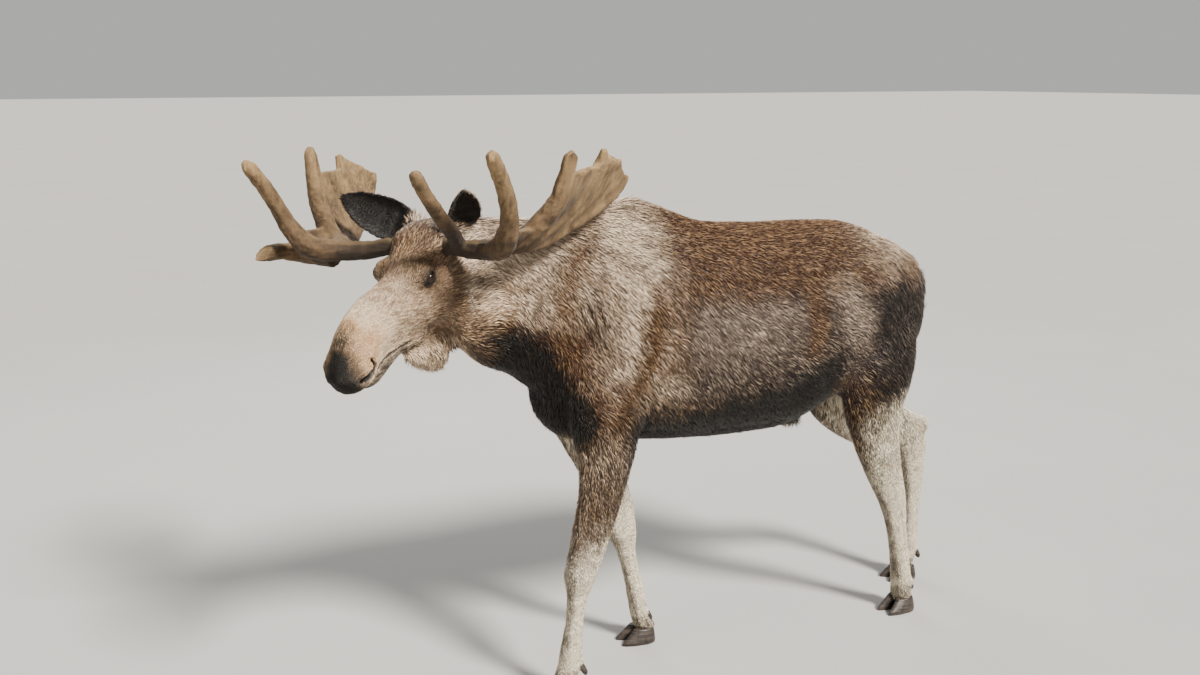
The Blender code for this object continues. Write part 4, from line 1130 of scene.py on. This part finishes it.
# The coat is parted into pieces by place and by kind of lock.
side_name = np.where(roots[:, 1] < midline, "left", "right")
area_name = np.where(roots[:, 0] < 0.62, "flank", "rump")
area_name = np.where(roots[:, 0] < 0.10, "shoulder", area_name)
area_name = np.where(roots[:, 0] < -0.42, "neck", area_name)
leg_name = np.where(roots[:, 0] > 0.4, "hind_leg", "foreleg")
area_name = np.where(roots[:, 2] < 0.95, leg_name, area_name)
area_name = np.where(face_share(roots) > 0.5, "face", area_name)
area_name = np.where(bell_share(roots) > 0.5, "bell", area_name)
area_name = np.where(ear_share(roots) > 0.5, "ear", area_name)
kind_name = np.where(lock_length < 0.022, "short", "middle")
kind_name = np.where(np.maximum(mane_share(roots), bell_share(roots)) > 0.4, "long", kind_name)
MOST_TRIANGLES = 190000  # in one piece
for area in sorted(set(area_name)):
    for half in ("left", "right"):
        for kind in LOCK_POINTS:
            members = np.nonzero((area_name == area) & (side_name == half) & (kind_name == kind))[0]
            shares = math.ceil(len(members) * LOCK_TRIANGLES[kind] / MOST_TRIANGLES)
            for turn in range(shares):
                name = f"coat_{area}_{half}_{kind}_{turn + 1}"
                piece = build_locks(name, members[turn::shares], kind)
                piece.data.materials.append(hair_material)
                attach(piece, "root")

# Eyes. Each is one dark wet ball, bulged at the clear front, with a brown iris and a pupil that is
# wider than high. It is set behind the lids in the socket.
eye_material, wire, shader = new_material("wet_eye", Roughness=0.20, Specular_IOR_Level=0.2,
                                          Coat_Weight=0.25, Coat_Roughness=0.03)
along = wire.value_of("along")
above = wire.value_of("above")
far_out = wire.maths("SQRT", along * along + above * above)
angle = wire.maths("ARCTAN2", above, along)
rays = wire.noise(wire.make("ShaderNodeCombineXYZ", {}, {0: angle * 9.0, 1: far_out}), 1.0)
iris = rays.mix(tint(26, 15, 9), tint(52, 31, 16))
rim = far_out.between(0.46, 0.60)
colour = rim.mix(iris, tint(26, 18, 14))
pupil = wire.maths("SQRT", along * along * 9.5 + above * above * 30.0).between(0.85, 1.1)
plug(shader, Base_Color=pupil.mix(tint(5, 5, 7), colour))

for side in ("left", "right"):
    sign = 1 if side == "left" else -1
    gaze = Vector(HEAD_AXES.T @ (np.array(EYE_OUT) * (1, sign, 1)))
    forward = Vector(HEAD_AXES.T @ (np.array(EYE_LONG) * (1, sign, 1)))
    forward = (forward - gaze * forward.dot(gaze)).normalized()
    bm = bmesh.new()
    bmesh.ops.create_uvsphere(bm, u_segments=64, v_segments=48, radius=EYE_RADIUS)
    along = bm.verts.layers.float.new("along")
    above = bm.verts.layers.float.new("above")
    for vert in bm.verts:
        place = vert.co / EYE_RADIUS
        vert[along] = place.x
        vert[above] = place.y
        vert.co *= 1 + 0.045 * max(0.0, place.z - 0.72) / 0.28
    turn = Matrix((forward, gaze.cross(forward), gaze)).transposed().to_4x4()
    bmesh.ops.transform(bm, matrix=Matrix.Translation(eye_middles[side]) @ turn, verts=bm.verts)
    for face in bm.faces:
        face.smooth = True
    eye = object_from(f"eyeball_{side}", bm)
    eye.data.materials.append(eye_material)
    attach(eye, "root")
    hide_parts(f"eye_{side}")

# Antlers. Each is one growth of bone still in velvet: a beam, brow tines, and a palm with its tines,
# all with no joint between them.


def growth_from(spots, ends, start):
    """How far each point is along the surface from the marked ones."""
    found = np.where(start, 0.0, 9.0)
    both = np.concatenate([ends, ends[:, ::-1]])
    lengths = np.linalg.norm(spots[both[:, 0]] - spots[both[:, 1]], axis=1)
    for turn in range(600):
        reached = found.copy()
        np.minimum.at(reached, both[:, 1], found[both[:, 0]] + lengths)
        if np.allclose(reached, found):
            break
        found = reached
    return found


def fibres(spots, ends, grown, seed):
    """Unevenness drawn out along the way the antler grows, between about -1 and 1."""
    way = spots[ends[:, 1]] - spots[ends[:, 0]]
    way /= np.maximum(np.linalg.norm(way, axis=1), 1e-9)[:, None]
    climb = (grown[ends[:, 1]] - grown[ends[:, 0]])[:, None] * way
    slope = np.zeros_like(spots)
    for axis in range(3):
        slope[:, axis] = np.bincount(ends.ravel(), np.repeat(climb[:, axis], 2), len(spots))
    for turn in range(6):
        slope = averaged(slope, ends)
    slope /= np.maximum(np.linalg.norm(slope, axis=1), 1e-9)[:, None]
    return drawn_out(spots, ends, slope, 40, seed)


velvet, wire, shader = new_material("velvet", Roughness=0.80, Specular_IOR_Level=0.25,
                                    Sheen_Weight=0.04, Sheen_Roughness=0.4)
place = wire.make("ShaderNodeTexCoord", {}, {}, "Object")
mottle = wire.noise(place, 16.0, 4.0)
nap = wire.noise(place, 420.0, 2.0)
veins = wire.noise(place, 55.0, 3.0)
fibre = wire.value_of("fibre")
tone = mottle * 0.6 + veins * 0.4 + fibre * 0.05
colour = tone.between(0.34, 0.68).mix(tint(50, 36, 23), tint(98, 76, 51))
colour = wire.value_of("shade").mix(colour, tint(34, 27, 20))
# Paler tan on the tines' tips, and a painted highlight on the antlers' upper faces.
colour = wire.value_of("pale_tips_and_highlight").mix(colour, tint(186, 154, 108))
colour = nap.between(0.35, 0.6, 0.45, 0.0).mix(colour, tint(36, 27, 20))
plug(shader, Base_Color=colour, Normal=(nap * 0.35 + veins * 0.65).bump(0.6, 0.003))

for side in ("left", "right"):
    nodes = [f"antler_{part}_{side}" for part in ("beam", "brow", "upright", "palm")]
    antler = joined_copy(f"antler_{side}", nodes)
    fuse(antler, voxel=0.0048)
    even_out(antler, rounds=12)
    spots = points_of(antler.data)
    normals = normals_of(antler.data)
    ends = edges_of(antler.data)
    aside = head_places(spots)[:, 1]
    inner = aside.min()
    grown = growth_from(spots, ends, aside < inner + 0.012)
    fibre = fibres(spots, ends, grown, 17 if side == "left" else 18)
    relief = 0.0010 * fibre + 0.0008 * ripple(spots, 0.030, 31) - 0.0012
    spots = spots + normals * relief[:, None]
    # The root of the beam runs on into the skull.
    sunk = ramp(inner + 0.045 - aside, 0, 0.045)[:, None]
    inwards = -0.030 * (1 if side == "left" else -1) * HEAD_AXES[1] - 0.014 * HEAD_AXES[2]
    place_points(antler.data, spots + sunk * inwards)
    # Paler towards the tines' tips, which is the velvet's own colour, and a painted highlight on the
    # higher and upward-facing parts.
    pale_tips_and_highlight = 0.55 * ramp(grown, 0.25, 0.75) + 0.45 * ramp(spots[:, 2], 1.86, 2.04)
    pale_tips_and_highlight = pale_tips_and_highlight * (0.36 + 0.14 * fibre + 0.15 * ripple(spots, 0.07, 33))
    pale_tips_and_highlight = np.clip(pale_tips_and_highlight + 0.15 * ramp(normals[:, 2], 0.5, 0.95), 0, 0.85)
    shade = 0.85 * ramp(-grown, -0.34, -0.10) + 0.35 * ramp(-normals[:, 2], -0.1, 0.6)
    shade = np.clip(shade, 0, 0.9)
    give_values(antler.data, {"pale_tips_and_highlight": pale_tips_and_highlight, "shade": shade, "fibre": fibre})
    antler.data.materials.append(velvet)
    for face in antler.data.polygons:
        face.use_smooth = True
    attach(antler, "root")
    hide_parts(*nodes)

# Hooves and dewclaws. Each foot has two cloven hooves of dark horn in front, with growth rings, and
# two small claws above them at the back. The leg runs down into them.
horn_material, wire, shader = new_material("hoof_horn", Roughness=0.42, Specular_IOR_Level=0.4)
place = wire.make("ShaderNodeTexCoord", {}, {}, "Object")
rings = wire.noise(place, 130.0, 2.0, (0.10, 0.10, 1.0))
grain = wire.noise(place, 90.0, 3.0, (1.0, 1.0, 0.25))
colour = (rings * 0.75 + grain * 0.25).between(0.35, 0.65).mix(tint(26, 22, 19), tint(62, 53, 45))
plug(shader, Base_Color=colour, Normal=(rings * 0.85 + grain * 0.15).bump(0.5, 0.0015))

for foot in CANNONS:
    nodes = [f"{kind}_{foot}_{half}" for kind in ("hoof", "dewclaw") for half in ("inner", "outer")]
    horn = joined_copy(f"hooves_{foot}", nodes)
    fuse(horn, voxel=0.0030)
    flat = points_of(horn.data)[:, 2] < 0.003
    even_out(horn, rounds=36)
    spots = points_of(horn.data)
    spots[:, 2] = np.where(flat, 0, np.maximum(spots[:, 2], 0))
    place_points(horn.data, spots)
    horn.data.materials.append(horn_material)
    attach(horn, "root")
    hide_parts(*nodes)

# The floor, the camera and the lights: a plain pale floor, a soft key light from above and behind
# the camera, and weaker lights from the animal's front and its far side.
bm = bmesh.new()
bmesh.ops.create_grid(bm, x_segments=4, y_segments=4, size=120)
floor = object_from("floor", bm)
floor_material, wire, shader = new_material("floor_paint", Roughness=0.85, Specular_IOR_Level=0.2)
place = wire.make("ShaderNodeTexCoord", {}, {}, "Object")
colour = wire.noise(place, 0.8, 3.0).mix(tint(164, 162, 159), tint(172, 170, 166))
plug(shader, Base_Color=colour)
floor.data.materials.append(floor_material)

camera_data = bpy.data.cameras.new("camera")
camera_data.lens = 36
camera_data.sensor_width = 36
camera = bpy.data.objects.new("camera", camera_data)
camera.location = (-2.2768, -3.9019, 2.29)
turn, dip = math.radians(27.7), math.radians(12.4)
look = Vector((math.sin(turn) * math.cos(dip), math.cos(turn) * math.cos(dip), -math.sin(dip)))
camera.rotation_euler = look.to_track_quat("-Z", "Y").to_euler()
bpy.context.scene.collection.objects.link(camera)
bpy.context.scene.camera = camera


def area_light(name, place, target, size, power):
    """A square light at the place that points at the target."""
    data = bpy.data.lights.new(name, "AREA")
    data.size = size
    data.energy = power
    light = bpy.data.objects.new(name, data)
    light.location = place
    light.rotation_euler = (Vector(target) - Vector(place)).to_track_quat("-Z", "Y").to_euler()
    bpy.context.scene.collection.objects.link(light)


key_data = bpy.data.lights.new("key", "SUN")
key_data.angle = math.radians(13)
key_data.energy = 10.6
key_data.color = (1.0, 0.96, 0.90)
key = bpy.data.objects.new("key", key_data)
key.rotation_euler = Vector((-1.5, 4.4, -4.2)).to_track_quat("-Z", "Y").to_euler()
bpy.context.scene.collection.objects.link(key)
area_light("fill", (-5.0, -2.5, 2.2), (-0.2, 0, 1.1), 3.0, 60)
area_light("back", (1.2, 4.6, 4.4), (0.2, 0, 1.4), 2.5, 160)
world = bpy.data.worlds.new("studio")
world.use_nodes = True
background = world.node_tree.nodes["Background"]
background.inputs["Color"].default_value = (0.92, 0.92, 0.90, 1)
background.inputs["Strength"].default_value = 0.55
bpy.context.scene.world = world
